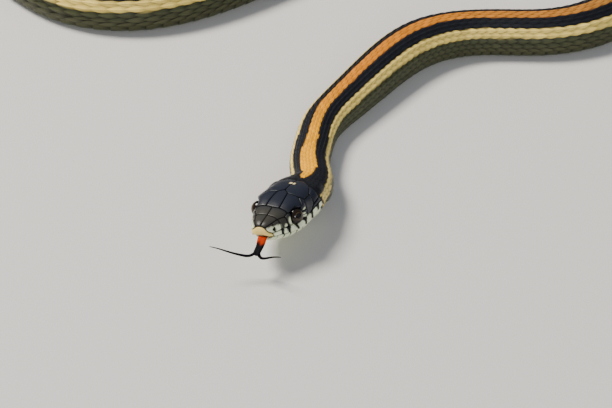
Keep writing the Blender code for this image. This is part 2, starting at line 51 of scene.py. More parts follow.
# Pose of the head and the belly line's route, as in the solids
PART_ORIGIN = (-26.05, 55.97)
SNOUT = (-8.4, -8.6, 6.6)
HEAD_YAW = 26.4
HEAD_RISE = 7.8
HEAD_ROLL = 5.0
ROUTE = [
    (0.8, 19.6), (1.4, 26.6), (2.9, 33.7), (7.0, 41.3), (12.3, 49.5), (17.4, 57.0),
    (24.0, 63.6), (31.7, 66.8), (40.0, 67.3), (48.0, 67.3), (55.8, 69.4), (61.7, 73.0),
    (70.6, 79.3), (77.2, 88.5), (78.4, 100.2), (73.4, 111.2), (62.4, 118.4), (47.6, 121.0),
    (31.0, 117.6), (14.6, 109.6), (0.5, 99.6), (-10.0, 90.8), (-17.5, 85.0), (-27.0, 79.5),
    (-37.5, 77.1), (-48.0, 79.8), (-56.5, 87.0), (-65.0, 96.4), (-76.5, 102.2), (-89.0, 101.6),
    (-99.5, 94.8), (-105.0, 83.6), (-104.6, 70.6), (-99.0, 58.0), (-91.4, 46.6), (-85.6, 34.6),
    (-84.6, 21.6), (-89.0, 9.6), (-98.0, 0.8), (-110.0, -3.0), (-122.0, -0.6), (-131.0, 7.6),
    (-135.0, 19.4), (-133.4, 31.6), (-127.0, 41.6), (-118.4, 48.6),
]

# Body along its length, as in the solids
HEAD_LENGTH = 19.0
WIDTH = [(19, 9.0), (23, 8.3), (28, 8.1), (38, 7.9), (46, 8.3), (56, 9.1), (70, 10.1), (82, 10.6),
         (94, 10.3), (120, 10.6), (220, 12.0), (300, 11.5), (345, 10.9), (370, 10.2), (418, 8.1), (434, 7.2),
         (468, 5.4), (506, 3.6), (556, 0.9)]
FLATNESS = [(19, 0.73), (25, 0.78), (34, 0.78), (60, 0.76), (390, 0.76), (450, 0.84), (556, 0.9)]
BELLY_FLAT = [(19, 0.45), (60, 0.66), (410, 0.66), (450, 0.5), (556, 0.45)]
LIFT = [(28, 0.6), (36, 0.2), (46, 0.0), (556, 0.0)]
TWIST = [(19, HEAD_ROLL), (26, 3.0), (36, 0.0), (556, 0.0)]
SHOULDER = 0.44
ROUNDNESS = 2.1
VENT = 425.0
TAIL_TIP = 556.0
STATION_STEP = 0.25
NECK_BLEND = (16.0, 22.5)     # where the head's sections turn into the body's

# Head outline: x runs back from the snout, y to the animal's right, z up from the mouth line
HALF_WIDTH = [(0.0, 0.9), (0.25, 1.5), (0.6, 1.85), (1.2, 2.25), (2.0, 2.7), (3.0, 3.2), (4.5, 3.88),
              (7.0, 4.6), (10.0, 4.95), (12.0, 5.1), (14.0, 5.25), (15.6, 5.25), (17.2, 5.0), (19.0, 4.6)]
CROWN = [(0.0, 1.55), (0.25, 2.0), (0.6, 2.35), (1.2, 2.65), (2.0, 2.85), (3.0, 3.12), (5.0, 3.75),
         (7.0, 4.45), (9.0, 4.9), (11.0, 5.05), (13.0, 4.98), (15.0, 4.8), (17.0, 4.6), (19.0, 4.45)]
MOUTH = [(0.0, 0.0), (1.0, -0.05), (2.7, -0.12), (4.2, -0.35), (7.0, -0.62), (9.5, -0.66), (12.0, -0.25),
         (13.8, 0.45), (15.6, 0.8), (19.0, 0.9)]
CHIN = [(0.0, -0.5), (0.6, -0.65), (1.2, -0.95), (2.5, -1.55), (4.5, -2.15), (8.0, -2.75), (12.0, -2.9),
        (15.6, -2.65), (19.0, -2.25)]
CROWN_POWER = 3.3
CHIN_POWER = 2.1
CROWN_TAPER = 0.04
BROW = 0.2
BROW_SPREAD = 2.4
JAW_START = 1.0
JAW_INSET = [(1.0, 0.4), (8.0, 0.65), (19.0, 0.65)]
JAW_SETBACK = 0.6
LIP_GAP = 0.06
SNOUT_CAP = 0.6
SNOUT_HEART = 0.75
MOUTH_END = 15.8

# Eyes: the ball's centre back and up, how far out it lies, its radius and that of the opening
EYE = (7.05, 1.95)
EYE_HEART = 3.65
EYE_RADIUS = 1.57
SOCKET = 1.5
NOSTRIL = (1.55, 1.42)
NOSTRIL_RADIUS = 0.3
SOCKET_DEPTH = 1.3
ORBIT_DEPTH = 0.55
NOSTRIL_DEPTH = 0.7
# Brow, hollow before the eye and cheek: rise, place back and length, height and width
SWELLS = [(0.22, 7.3, 1.9, 3.6, 0.45), (-0.16, 3.9, 1.1, 1.7, 0.8), (-0.12, 10.6, 1.6, 2.3, 0.9)]

# Skin and coat
STRIP_LENGTH = 112.0          # of the body, laid out as strips on the bake map
STRIP_SPAN = 118.0
UNWRAP_WIDTH = 190.0
PATCH = 0.003                 # size of a scale's own patch there
CRISP_ANGLE = 55.0
HALF_TURN = 2.94              # half the way round the body, in half-widths
ROW_WIDTHS = [0.17, 0.165, 0.17, 0.175, 0.185, 0.20, 0.22, 0.215, 0.21, 0.205]
ROW_EDGE = 1.83 / HALF_TURN   # where the scale rows meet the belly scutes
# Turn of the skin to the right and the stripes' edges, in half-widths from the spine
ROLL = [(17.5, 0.0), (20, 0.08), (24, 0.14), (28, 0.12), (32, 0.05), (37, 0.0), (43, 0.02), (50, 0.10),
        (62, 0.15), (72, 0.12), (84, 0.03), (110, 0.02), (150, 0.0), (556, 0.0)]
ORANGE_HALF = [(17.2, 0.0), (18.4, 0.14), (21.5, 0.26), (24.5, 0.40), (27, 0.39), (31, 0.34), (36, 0.27),
               (45, 0.25), (556, 0.25)]
YELLOW_HIGH = [(17, 1.12), (20, 1.06), (24, 0.96), (34, 0.90), (44, 0.80), (60, 0.78), (556, 0.78)]
YELLOW_LOW = [(17, 1.7), (19, 1.6), (22, 1.3), (36, 1.25), (46, 1.18), (60, 1.14), (75, 1.16), (90, 1.2),
              (556, 1.2)]
STRIPE_EDGE = 0.035
FLANK_LOW = (1.25, 1.75)
BELLY_SIDE = (1.95, 2.35)
ORANGE_STARTS = (17.2, 17.8)
ORANGE_FADES = (30, 62, 130)  # bright up to the first distance, dull from the last
HELD_RIGHT = (0.3, 0.95)      # where the skin stops turning, on either side
HELD_LEFT = (1.0, 1.8)
# Length of skin to a cross row, and where the lengthwise rows end and start
PITCH = [(8, 1.15), (19, 1.4), (40, 1.7), (60, 1.85), (120, 2.3), (220, 2.9), (340, 3.0), (425, 2.5),
         (470, 2.0), (520, 1.5), (556, 1.1)]
ROW_ENDS = {8: 300.0, 6: 420.0, 3: 437.0, 7: 450.0, 5: 472.0, 9: 498.0, 4: 530.0}
ROW_FADE = 9.0
ROW_STARTS = [16.0, 16.0, 15.9, 15.5, 15.0, 14.7, 14.8, 15.4, 15.8, 15.4]

# Colours, as base colours of the shader
ORANGE = (1.0, 0.44, 0.0)
ORANGE_MID = (0.70, 0.23, 0.01)
ORANGE_REAR = (0.44, 0.185, 0.035)
# black with a faint blue tint, a painted blue sheen on the black
BLUE_SHEEN_BLACK = (0.009, 0.010, 0.014)
YELLOW = (0.88, 0.66, 0.17)
OLIVE = (0.062, 0.068, 0.032)
OLIVE_LOW = (0.075, 0.078, 0.040)
BELLY = (0.34, 0.36, 0.24)
LIP = (0.86, 0.93, 0.62)
ROSTRAL = (0.95, 0.72, 0.22)
SPOT = (0.92, 0.76, 0.40)
SNOUT_GREY = (0.038, 0.036, 0.030)
# the crown's black with a blue tint, a painted blue sheen
CROWN_BLACK_WITH_SHEEN = (0.014, 0.017, 0.028)


def profile(table, at):
    """Smooth value between the stations of a table, without overshoot."""
    x, y = np.array(table, float).T
    slope = np.diff(y) / np.diff(x)
    inner = np.where(slope[:-1] * slope[1:] > 0, 2 * slope[:-1] * slope[1:], 0.0)
    inner = inner / np.where(inner != 0, slope[:-1] + slope[1:], 1.0)
    tangent = np.concatenate([slope[:1], inner, slope[-1:]])
    at = np.clip(np.asarray(at, float), x[0], x[-1])
    k = np.clip(np.searchsorted(x, at, side="right") - 1, 0, len(x) - 2)
    h = x[k + 1] - x[k]
    t = (at - x[k]) / h
    rise = y[k] * (1 + 2 * t) * (1 - t) ** 2 + y[k + 1] * t * t * (3 - 2 * t)
    return rise + h * t * (1 - t) * (tangent[k] * (1 - t) - tangent[k + 1] * t)


def ramp(low, high, at):
    """From 0 at low to 1 at high, smoothly."""
    t = np.clip((np.asarray(at, float) - low) / (high - low), 0.0, 1.0)
    return t * t * (3 - 2 * t)


def fall(low, high, at):
    """From 1 at low to 0 at high, smoothly."""
    return 1 - ramp(low, high, at)


def bell(at, middle, width):
    """Bell curve that is 1 at its middle."""
    return np.exp(-((at - middle) / width) ** 2)


def unit(v):
    """Vectors of length one, along the last axis."""
    return v / np.maximum(np.linalg.norm(v, axis=-1, keepdims=True), 1e-12)


def lengths(points):
    """Distance along a polyline to each of its points."""
    return np.concatenate([[0.0], np.cumsum(np.linalg.norm(np.diff(points, axis=0), axis=1))])


def circle(count):
    """Cosines and sines of even steps round a circle, as columns."""
    around = np.linspace(0, 2 * math.pi, count, endpoint=False)[:, None]
    return np.cos(around), np.sin(around)


def smooth_curve(points, step=0.25):
    """Natural cubic curve through the points, as finely spaced places."""
    p = np.array(points, float)
    t = lengths(p)
    h = np.diff(t)[:, None]
    count = len(p)
    system = np.eye(count)
    right_side = np.zeros_like(p)
    for i in range(1, count - 1):
        system[i, i - 1:i + 2] = h[i - 1, 0], 2 * (h[i - 1, 0] + h[i, 0]), h[i, 0]
        right_side[i] = 6 * ((p[i + 1] - p[i]) / h[i] - (p[i] - p[i - 1]) / h[i - 1])
    bend = np.linalg.solve(system, right_side)
    fine = np.linspace(0.0, t[-1], int(t[-1] / step) + 1)
    k = np.clip(np.searchsorted(t, fine, side="right") - 1, 0, count - 2)
    b = (fine - t[k])[:, None] / h[k]
    a = 1 - b
    return a * p[k] + b * p[k + 1] + ((a ** 3 - a) * bend[k] + (b ** 3 - b) * bend[k + 1]) * h[k] ** 2 / 6


def head_pose():
    """Axes of the head, as rows that run back, to the right and up, and its origin."""
    yaw, rise, roll = (math.radians(v) for v in (HEAD_YAW, HEAD_RISE, HEAD_ROLL))
    forward = np.array((-math.sin(yaw), -math.cos(yaw), 0.0))
    left = np.array((math.cos(yaw), -math.sin(yaw), 0.0))
    up = np.array((0.0, 0.0, 1.0))
    nose = forward * math.cos(rise) + up * math.sin(rise)
    crown = up * math.cos(rise) - forward * math.sin(rise)
    side = left * math.cos(roll) + crown * math.sin(roll)
    crown = crown * math.cos(roll) - left * math.sin(roll)
    origin = np.array((SNOUT[0] - PART_ORIGIN[0], SNOUT[1] - PART_ORIGIN[1], SNOUT[2]))
    return np.array((-nose, -side, crown)), origin


HEAD_AXES, HEAD_ORIGIN = head_pose()
THROAT = float(profile(CHIN, HEAD_LENGTH))
STATIONS = np.arange(0.0, TAIL_TIP + 0.01, STATION_STEP)


def from_head(points):
    """Places given on the head's axes, in the part's frame."""
    return np.asarray(points, float) @ HEAD_AXES + HEAD_ORIGIN


def belly_frames():
    """At each station: the belly line's place, and the directions to the right and up."""
    axis = [from_head((HEAD_LENGTH + x, 0.0, THROAT)) for x in (-10.0, -5.0, 0.0, 2.0)]
    start = [(a[0], a[1]) for a in axis]
    plan = smooth_curve(start + [(x - PART_ORIGIN[0], y - PART_ORIGIN[1]) for x, y in ROUTE])
    length = lengths(plan)
    nape = np.argmin(np.linalg.norm(plan - np.array(start[2]), axis=1))
    length += HEAD_LENGTH - length[nape]
    lift = [(HEAD_LENGTH + x, a[2]) for x, a in zip((-10.0, -5.0, 0.0, 2.0), axis)] + LIFT
    line = np.column_stack([plan, profile(lift, length)])
    at = [np.column_stack([np.interp(STATIONS + d, length, line[:, i]) for i in range(3)])
          for d in (-0.5, 0.0, 0.5)]
    along = unit(at[2] - at[0])
    up = unit(np.array((0.0, 0.0, 1.0)) - along * along[:, 2:])
    turn = -np.radians(profile(TWIST, STATIONS))[:, None]
    up = up * np.cos(turn) + np.cross(along, up) * np.sin(turn)
    right = np.cross(up, along)
    base = at[1]
    in_head = STATIONS < HEAD_LENGTH
    base[in_head] = from_head(np.column_stack([STATIONS[in_head], 0 * STATIONS[in_head],
                                               0 * STATIONS[in_head] + THROAT]))
    right[in_head] = HEAD_AXES[1]
    up[in_head] = HEAD_AXES[2]
    return base, right, up


BASE, RIGHT, UP = belly_frames()


def resample(points, count):
    """Points at equal steps along a polyline."""
    length = lengths(points)
    at = np.linspace(0.0, length[-1], count)
    return np.column_stack([np.interp(at, length, points[:, i]) for i in range(points.shape[1])])


def sculpted(x, points):
    """Points (y, z) of a section with the brow, the hollow, the cheek, the eye's socket and the nostril."""
    y, z = points[:, 0], points[:, 1]
    swell = sum(rise * bell(x, back, long) * bell(z, up, wide) for rise, back, long, up, wide in SWELLS)
    reach = np.hypot(x - EYE[0], z - EYE[1])
    swell = swell - ORBIT_DEPTH * fall(SOCKET - 0.1, SOCKET + 0.75, reach)
    swell = swell - SOCKET_DEPTH * fall(SOCKET - 0.45, SOCKET - 0.08, reach)
    near = np.hypot(x - NOSTRIL[0], z - NOSTRIL[1])
    pit = NOSTRIL_DEPTH * fall(NOSTRIL_RADIUS - 0.14, NOSTRIL_RADIUS + 0.04, near)
    return np.column_stack([y + ramp(1.5, 3.2, y) * swell - ramp(1.0, 1.5, y) * pit, z])


# Points of half a section of the head, from crown to lip, across the mouth and on to the chin
UPPER = 64
LIPS = 8
LOWER = 56
HEAD_POINTS = UPPER + LIPS + LOWER


def head_outline(x, groove):
    """Half a section of the head at x, crown to lip to chin, as points (y, z)."""
    cap = 1.0
    if x < SNOUT_CAP:
        cap = math.sqrt(1 - (1 - x / SNOUT_CAP) ** 2)
        x = SNOUT_CAP
    half = float(profile(HALF_WIDTH, x))
    crown = float(profile(CROWN, x))
    seam = float(profile(MOUTH, x))
    opening = LIP_GAP * (1 - float(ramp(MOUTH_END - 2.2, MOUTH_END, x)))
    t = np.linspace(math.pi / 2, 0.0, 160)
    share = np.sin(t) ** (2 / CROWN_POWER)
    reach = np.clip(np.cos(t), 0.0, 1.0) ** (2 / CROWN_POWER)
    brow = BROW * float(bell(x, EYE[0] + 0.8, BROW_SPREAD))
    wider = 1 - CROWN_TAPER * share + brow * share ** 2
    upper = np.column_stack([half * reach * wider, seam + opening + (crown - seam - opening) * share])
    upper = sculpted(x, resample(upper, UPPER + 1))
    closing = float(ramp(13.0, 17.0, x))
    low_half = float(profile(HALF_WIDTH, x - JAW_SETBACK * (1 - closing)))
    low_half -= float(profile(JAW_INSET, x)) * (1 - closing)
    floor = float(profile(CHIN, x))
    t = np.linspace(0.0, math.pi / 2, 120)
    under = np.column_stack([low_half * np.clip(np.cos(t), 0.0, 1.0) ** (2 / CHIN_POWER),
                             seam - opening + (floor - seam + opening) * np.sin(t) ** (2 / CHIN_POWER)])
    begun = float(np.clip((x - JAW_START) / 0.7, 0.0, 1.0)) ** 0.5
    palate = np.column_stack([upper[-1, 0] * np.linspace(1, 0, 120), np.full(120, upper[-1, 1])])
    under = resample(palate * (1 - begun) + under * begun, LOWER + 1)
    depth = groove * 0.75 * begun * (1 - float(ramp(MOUTH_END - 2.4, MOUTH_END, x)))
    k = np.linspace(0.0, 1.0, LIPS + 1)[1:-1, None]
    lips = upper[-1] * (1 - k) + under[0] * k
    lips[:, 0] -= depth * np.sin(math.pi * k[:, 0]) ** 0.6
    outline = np.vstack([upper, lips, under])
    outline = (outline - (0.0, SNOUT_HEART)) * cap + (0.0, SNOUT_HEART)
    return outline - (0.0, THROAT)


def body_outline(s):
    """Half a section of the body at s, spine to belly, as points (y, z)."""
    width = float(profile(WIDTH, s))
    height = width * float(profile(FLATNESS, s))
    flat = float(profile(BELLY_FLAT, s))
    half = width / 2
    shoulder = SHOULDER * height
    t = np.linspace(0.0, math.pi / 2, 90)
    back = np.column_stack([half * np.sin(t) ** (2 / ROUNDNESS),
                            shoulder + (height - shoulder) * np.clip(np.cos(t), 0, 1) ** (2 / ROUNDNESS)])
    t = t[1:]
    flank = np.column_stack([half * (flat + (1 - flat) * np.cos(t)), shoulder * (1 - np.sin(t))])
    belly = np.column_stack([half * flat * np.linspace(1, 0, 30)[1:], np.zeros(29)])
    return np.vstack([back, flank, belly])


def outline(s, count):
    """Half a section anywhere, of the given count of points."""
    share = float(ramp(*NECK_BLEND, s))
    parts = []
    if share < 1:
        parts.append(resample(head_outline(min(s, HEAD_LENGTH), 0.0), count) * (1 - share))
    if share > 0:
        parts.append(resample(body_outline(max(s, HEAD_LENGTH)), count) * share)
    return sum(parts)


ROUND = 129
TABLE = np.array([outline(s, ROUND) for s in STATIONS])


def at_station(s):
    """Place of distances s in the tables by station: the index, and the share beyond it."""
    k = np.clip(s / STATION_STEP, 0, len(STATIONS) - 1.001)
    i = k.astype(int)
    return i, (k - i)[..., None]


def frames_at(s):
    """The belly line's place and the directions to the right and up, at distances s."""
    i, b = at_station(s)
    return [a[i] * (1 - b) + a[i + 1] * b for a in (BASE, RIGHT, UP)]


def surface(s, f):
    """Places on the body's surface at distances s and signed shares f round it."""
    s, f = np.broadcast_arrays(np.asarray(s, float), np.asarray(f, float))
    turns = np.abs(f)
    over = np.where(turns > 1, 2 - turns, turns)
    side = np.where(turns > 1, -np.sign(f), np.sign(f))
    i, a = at_station(s)
    m = np.clip(over * (ROUND - 1), 0, ROUND - 1.001)
    j = m.astype(int)
    b = (m - j)[..., None]
    here = ((TABLE[i, j] * (1 - b) + TABLE[i, j + 1] * b) * (1 - a)
            + (TABLE[i + 1, j] * (1 - b) + TABLE[i + 1, j + 1] * b) * a)
    base, right, up = frames_at(s)
    return base + right * (here[..., :1] * side[..., None]) + up * here[..., 1:]


def surface_normal(s, f):
    """Outward directions there."""
    along = surface(np.minimum(s + 0.6, TAIL_TIP), f) - surface(s - 0.6, f)
    across = surface(s, f + 0.02) - surface(s, f - 0.02)
    return unit(np.cross(along, across))


def half_width(s):
    """Half the body's width at distances s."""
    return np.where(s < HEAD_LENGTH, profile(HALF_WIDTH, s), profile(WIDTH, s) / 2)


def mix(a, b, share):
    """Colours between two, share by share."""
    share = np.asarray(share)[..., None]
    return np.asarray(a) * (1 - share) + np.asarray(b) * share


def rolled(s, f):
    """Where a row of the coat lies once the skin is rolled round the body; the belly stays."""
    c = np.asarray(f) * HALF_TURN
    held = np.where(c > 0, ramp(*HELD_RIGHT, c), ramp(*HELD_LEFT, -c))
    return f + profile(ROLL, s) / HALF_TURN * (1 - held)


def unrolled(s, f):
    """The row at a place on the rolled skin."""
    row = f
    for _ in range(4):
        row = f - (rolled(s, row) - row)
    return row


def markings(s, f):
    """Base colour of the animal at distances s and rows f: stripes, flanks and belly."""
    s, f = np.broadcast_arrays(np.asarray(s, float), np.abs(np.asarray(f, float)))
    c = f * HALF_TURN

    def beyond(table):
        edge = profile(table, s)
        return ramp(edge - STRIPE_EDGE, edge + STRIPE_EDGE, c)

    bright, middling, dull = ORANGE_FADES
    orange = mix(ORANGE, ORANGE_MID, ramp(bright, middling, s))
    orange = mix(orange, ORANGE_REAR, ramp(middling, dull, s))
    flank = beyond(YELLOW_HIGH)
    colour = mix(OLIVE, OLIVE_LOW, ramp(*FLANK_LOW, c))
    colour = mix(colour, BELLY, ramp(*BELLY_SIDE, c))
    colour = mix(colour, YELLOW, flank * (1 - beyond(YELLOW_LOW)))
    colour = mix(colour, BLUE_SHEEN_BLACK, 1 - flank)
    return mix(colour, orange, (1 - beyond(ORANGE_HALF)) * ramp(*ORANGE_STARTS, s))


def bake_place(s, f):
    """Place on the skin's unwrap: the body's strips laid side by side in the unit square."""
    s = np.asarray(s)
    strip = np.clip((s / STRIP_LENGTH).astype(int), 0, 4)
    u = (s - strip * STRIP_LENGTH) / STRIP_SPAN + 0.02
    v = 0.1 + 0.2 * strip + np.asarray(f) * HALF_TURN * half_width(s) / UNWRAP_WIDTH
    return np.stack([u, v], axis=-1)


def dressed(name, mesh, paint, patches, material):
    """Object of a mesh, with its colours, its bake map and its material."""
    layer = mesh.color_attributes.new("paint", "FLOAT_COLOR", "POINT")
    layer.data.foreach_set("color", np.column_stack([paint, np.ones(len(paint))]).ravel())
    if patches is not None:
        corner = np.empty(len(mesh.loops), int)
        mesh.loops.foreach_get("vertex_index", corner)
        mesh.uv_layers.new(name="OFBake").data.foreach_set("uv", patches[corner].ravel())
    mesh.shade_smooth()
    mesh.materials.append(material)
    piece = bpy.data.objects.new(name, mesh)
    bpy.context.scene.collection.objects.link(piece)
    return piece


def new_object(name, points, faces, paint, patches, material):
    """Piece from points in millimetres and lists of corners."""
    mesh = bpy.data.meshes.new(name)
    mesh.from_pydata(np.asarray(points) * MM, [], faces)
    return dressed(name, mesh, paint, patches, material)


def closed_piece(name, points, faces, paint, material):
    """Piece without a bake map, its faces turned to the outside."""
    piece = new_object(name, points, faces, paint, None, material)
    shape = bmesh.new()
    shape.from_mesh(piece.data)
    bmesh.ops.recalc_face_normals(shape, faces=shape.faces)
    shape.to_mesh(piece.data)
    shape.free()
    return piece


def tube_sides(around, rings):
    """Faces between rings of so many points each."""
    faces = []
    for k in range(0, around * (rings - 1), around):
        for i in range(around):
            n = (i + 1) % around
            faces.append((k + i, k + n, k + around + n, k + around + i))
    return faces


def tube(around, rings):
    """Faces between rings of points, and one over each end."""
    last = around * (rings - 1)
    return tube_sides(around, rings) + [tuple(range(around))[::-1], tuple(range(last, last + around))]


# Skin
SKIN_RINGS = [(SNOUT_CAP + 0.15, 24.0, 0.15, HEAD_POINTS), (24.3, 44.0, 0.5, 64),
              (44.5, TAIL_TIP + 0.5, 1.0, 32)]    # from, to, step and points of a ring


def skin_stations():
    """Stations of the skin's rings and each ring's count of points."""
    stations = list(SNOUT_CAP * (1 - np.cos(np.linspace(0.12, math.pi / 2, 14))))
    counts = [HEAD_POINTS] * len(stations)
    for first, last, step, count in SKIN_RINGS:
        more = np.arange(first, last, step)
        stations += list(more)
        counts += [count] * len(more)
    return stations, counts


def ring_points(s, count):
    """Both halves of a ring, round from the spine over the right side, and each point's share."""
    share = float(ramp(*NECK_BLEND, s))
    body = resample(body_outline(max(s, HEAD_LENGTH)), HEAD_POINTS + 1)
    half = head_outline(min(s, HEAD_LENGTH), 1.0) * (1 - share) + body * share
    half = half[::HEAD_POINTS // count]
    length = lengths(half)
    turns = length / length[-1]
    return np.vstack([half, half[-2:0:-1] * (-1, 1)]), np.concatenate([turns, -turns[-2:0:-1]])


def skin_rings():
    """All ring points in the part's frame with their stations and shares."""
    rings, where = [], []
    for s, count in zip(*skin_stations()):
        ring, shares = ring_points(float(s), count)
        base, right, up = (a[0] for a in frames_at(np.array([float(s)])))
        rings.append(base + ring[:, :1] * right + ring[:, 1:] * up)
        where.append(np.column_stack([np.full(len(ring), s), shares]))
    return rings, where


def stitched(counts):
    """Faces between rings, where a ring may have half the points of the one before."""
    faces = []
    starts = np.concatenate([[0], np.cumsum(counts)])
    for first, after, a, b in zip(starts.tolist(), starts.tolist()[1:], counts, counts[1:]):
        for j in range(b):
            n = (j + 1) % b
            if a == b:
                faces.append((first + j, after + j, after + n, first + n))
            else:
                low, mid, high = first + 2 * j, first + 2 * j + 1, first + (2 * j + 2) % a
                faces += [(low, after + j, mid), (mid, after + j, after + n, high)]
    return faces


def inward(rings, depths):
    """Rings moved inwards along their surface's own direction."""
    moved = []
    for k, (ring, depth) in enumerate(zip(rings, depths)):
        before = rings[max(k - 1, 0)]
        after = rings[min(k + 1, len(rings) - 1)]
        across = np.roll(ring, -1, axis=0) - np.roll(ring, 1, axis=0)
        if len(before) == len(ring) == len(after):
            along = after - before
        else:
            along = np.tile(after.mean(axis=0) - before.mean(axis=0), (len(ring), 1))
        moved.append(ring - unit(np.cross(along, across)) * depth)
    return moved


def skin_depth(s):
    """How deep the skin lies under the outline."""
    return np.interp(s, (0.2, 1.0, 19, 30, 500, 556), (0.06, 0.13, 0.14, 0.2, 0.16, 0.1))


def build_skin(material):
    """One closed skin, and a finder of places on the head's outer surface."""
    rings, where = skin_rings()
    counts = [len(r) for r in rings]
    faces = stitched(counts)
    nose = from_head((0.0, 0.0, SNOUT_HEART))
    total = sum(counts)
    front = [(total, i, (i + 1) % counts[0]) for i in range(counts[0])]
    last = total - counts[-1]
    rear = [(total + 1, last + (i + 1) % counts[-1], last + i) for i in range(counts[-1])]
    tail_end = rings[-1].mean(axis=0)
    outer = np.vstack(rings + [nose[None], tail_end[None]])
    stations = [float(w[0, 0]) for w in where]
    inner = inward(rings, [0.0 if s < 0.2 else float(skin_depth(s)) for s in stations])
    points = np.vstack(inner + [nose[None] + HEAD_AXES[0] * 0.06, tail_end[None]])
    places = np.vstack(where + [np.array([[0.0, 0.0], [TAIL_TIP, 0.0]])])
    skin = new_object("skin", points, front + faces + rear, skin_paint(places), None, material)
    reach = sum(n for n, s in zip(counts, stations) if s < NECK_BLEND[1] - 0.5)
    head_faces = front + [face for face in faces if max(face) < reach]
    on_head = (outer - HEAD_ORIGIN) @ HEAD_AXES.T
    return skin, BVHTree.FromPolygons([Vector(p) for p in on_head], head_faces)


def skin_paint(places):
    """Colours of the bare skin between the scales: the markings, darkened as painted shade under the scales;
    black on the head above a pale throat that is darkened the same way. The black gives the shields' dark
    seams and painted shade in the mouth's groove and the nostril's pit."""
    s, f = places[:, 0], places[:, 1]
    # painted shade: the skin under the scales, and below the pale throat's skin, is darkened to 0.45
    colour = markings(s, unrolled(s, f)) * 0.45
    throat = ramp(0.62, 0.70, np.abs(f) - 0.14 * fall(14.0, 16.0, s))
    colour = mix(colour, np.array(LIP) * 0.45, throat * fall(15.0, 22.0, s))
    head = fall(15.0, 17.5, s) * (1 - throat)
    # black head skin, darker still: the shields' dark seams, and painted shade in the mouth's groove and the
    # nostril's pit
    return mix(colour, np.array(BLUE_SHEEN_BLACK) * 0.8, head)


# Shields of the head, on the head's axes
PLATE_GAP = 0.06
PLATE_RISE = 0.13
CROWN_SHIELDS = ("internasal", "prefrontal", "supraocular", "parietal")
CROWN_GAP = 0.03
CROWN_RISE = 0.09
PLATE_ROOT = 0.35
PLATE_EDGE = 0.2
PLATE_LAP = 0.12              # how far a plate's edge turns down
PLATE_DOME = 0.04
UPPER_HEART = 1.4             # heights of the inside places that the plates are seen from
ROSTRAL_HEART = 1.2
LOWER_HEART = -0.9
VIEWS = {
    "T": (lambda a, b: (a, b, 12.0), (0, 0, -1)),
    "S": (lambda a, b: (a, 12.0, b), (0, -1, 0)),
    "SL": (lambda a, b: (a, -12.0, b), (0, 1, 0)),
    "F": (lambda a, b: (-12.0, a, b), (1, 0, 0)),
    "U": (lambda a, b: (a, b, -12.0), (0, 0, 1)),
}


def eye_rim(degrees):
    """Place on the rim of the eye's opening, from its front upwards."""
    t = math.radians(degrees)
    return ("S", EYE[0] - SOCKET * math.cos(t), EYE[1] + SOCKET * math.sin(t))


def lip_at(x, above):
    """Place on the lip at x, above or below the mouth line."""
    return ("S", x, float(profile(MOUTH, x)) + above)


UPPER_LIP = LIP_GAP + 0.05
LOWER_LIP = -LIP_GAP - 0.09
CORNERS = {
    "apex": ("F", 0.0, 2.05), "apex_side": ("F", 0.8, 1.9), "rostral_side": ("F", 1.42, 1.3),
    "rostral_low": ("S", 1.0, 0.8), "rostral_lip": ("S", 1.25, 0.12),
    "nasal_top": ("T", 1.6, 1.7), "nasal_low": ("S", 1.55, 0.9), "nasal_rear": ("T", 2.85, 2.15),
    "nasal_rear_low": ("S", 2.85, 1.0),
    "mid_front": ("T", 3.05, 0.0), "mid_brow": ("T", 5.2, 0.0), "mid_rear": ("T", 10.6, 0.0),
    "nape": ("T", 15.4, 0.0),
    "loreal_top": ("T", 4.25, 2.95), "loreal_low": ("S", 4.35, 1.0),
    "brow_front": ("T", 5.1, 3.1), "frontal_front": ("T", 5.3, 1.35), "frontal_rear": ("T", 9.45, 1.05),
    "brow_rear": ("T", 9.4, 3.2),
    "post_high": ("S", 9.65, 2.75), "post_mid": ("S", 9.7, 1.85), "post_low": ("S", 9.6, 1.05),
    "cheek_low": ("S", 11.3, 1.4), "cheek_mid": ("S", 12.3, 2.35), "cheek_rear": ("S", 14.2, 2.9),
    "cheek_rear_low": ("S", 13.5, 1.9), "cheek_end": ("S", 15.0, 2.1),
    "parietal_side": ("T", 10.2, 4.1), "parietal_wide": ("T", 12.3, 4.0), "parietal_rear": ("T", 14.2, 3.0),
    "parietal_end": ("T", 15.5, 1.5),
    "lip_2": ("S", 2.9, 1.0), "lip_5": ("S", 9.0, 0.72), "lip_8": ("S", 15.4, 2.0),
}
LIP_SEAMS = (1.25, 2.9, 4.3, 6.6, 9.0, 11.3, 13.5, 15.5)
LOWER_SEAMS = (1.55, 2.7, 4.1, 5.6, 7.3, 9.2, 11.3, 13.4, 15.2)
CHIN_SIDE = {1.55: ("U", 1.9, 0.0), 2.7: ("U", 2.7, 1.15), 4.1: ("U", 4.2, 1.62), 5.6: ("U", 5.7, 1.75)}


def upper_lip(k):
    """Lip edge of the k-th upper lip shield, in steps along it."""
    a, b = LIP_SEAMS[k], LIP_SEAMS[k + 1]
    return [lip_at(x, UPPER_LIP) for x in np.linspace(a, b, 6)]


def lower_side(x):
    """Lower end of the seam between two lower lip shields."""
    if x in CHIN_SIDE:
        return CHIN_SIDE[x]
    high = float(profile(MOUTH, x)) + LOWER_LIP
    return ("S", x, high + 0.52 * (float(profile(CHIN, x)) - high))


def rims(*degrees):
    """Places on the eye's rim."""
    return [eye_rim(d) for d in degrees]


def nostril_rim(*degrees):
    """Places on the rim of the nostril, 0 being its front and 90 its top."""
    return [("S", NOSTRIL[0] - NOSTRIL_RADIUS * math.cos(math.radians(d)),
             NOSTRIL[1] + NOSTRIL_RADIUS * math.sin(math.radians(d))) for d in degrees]


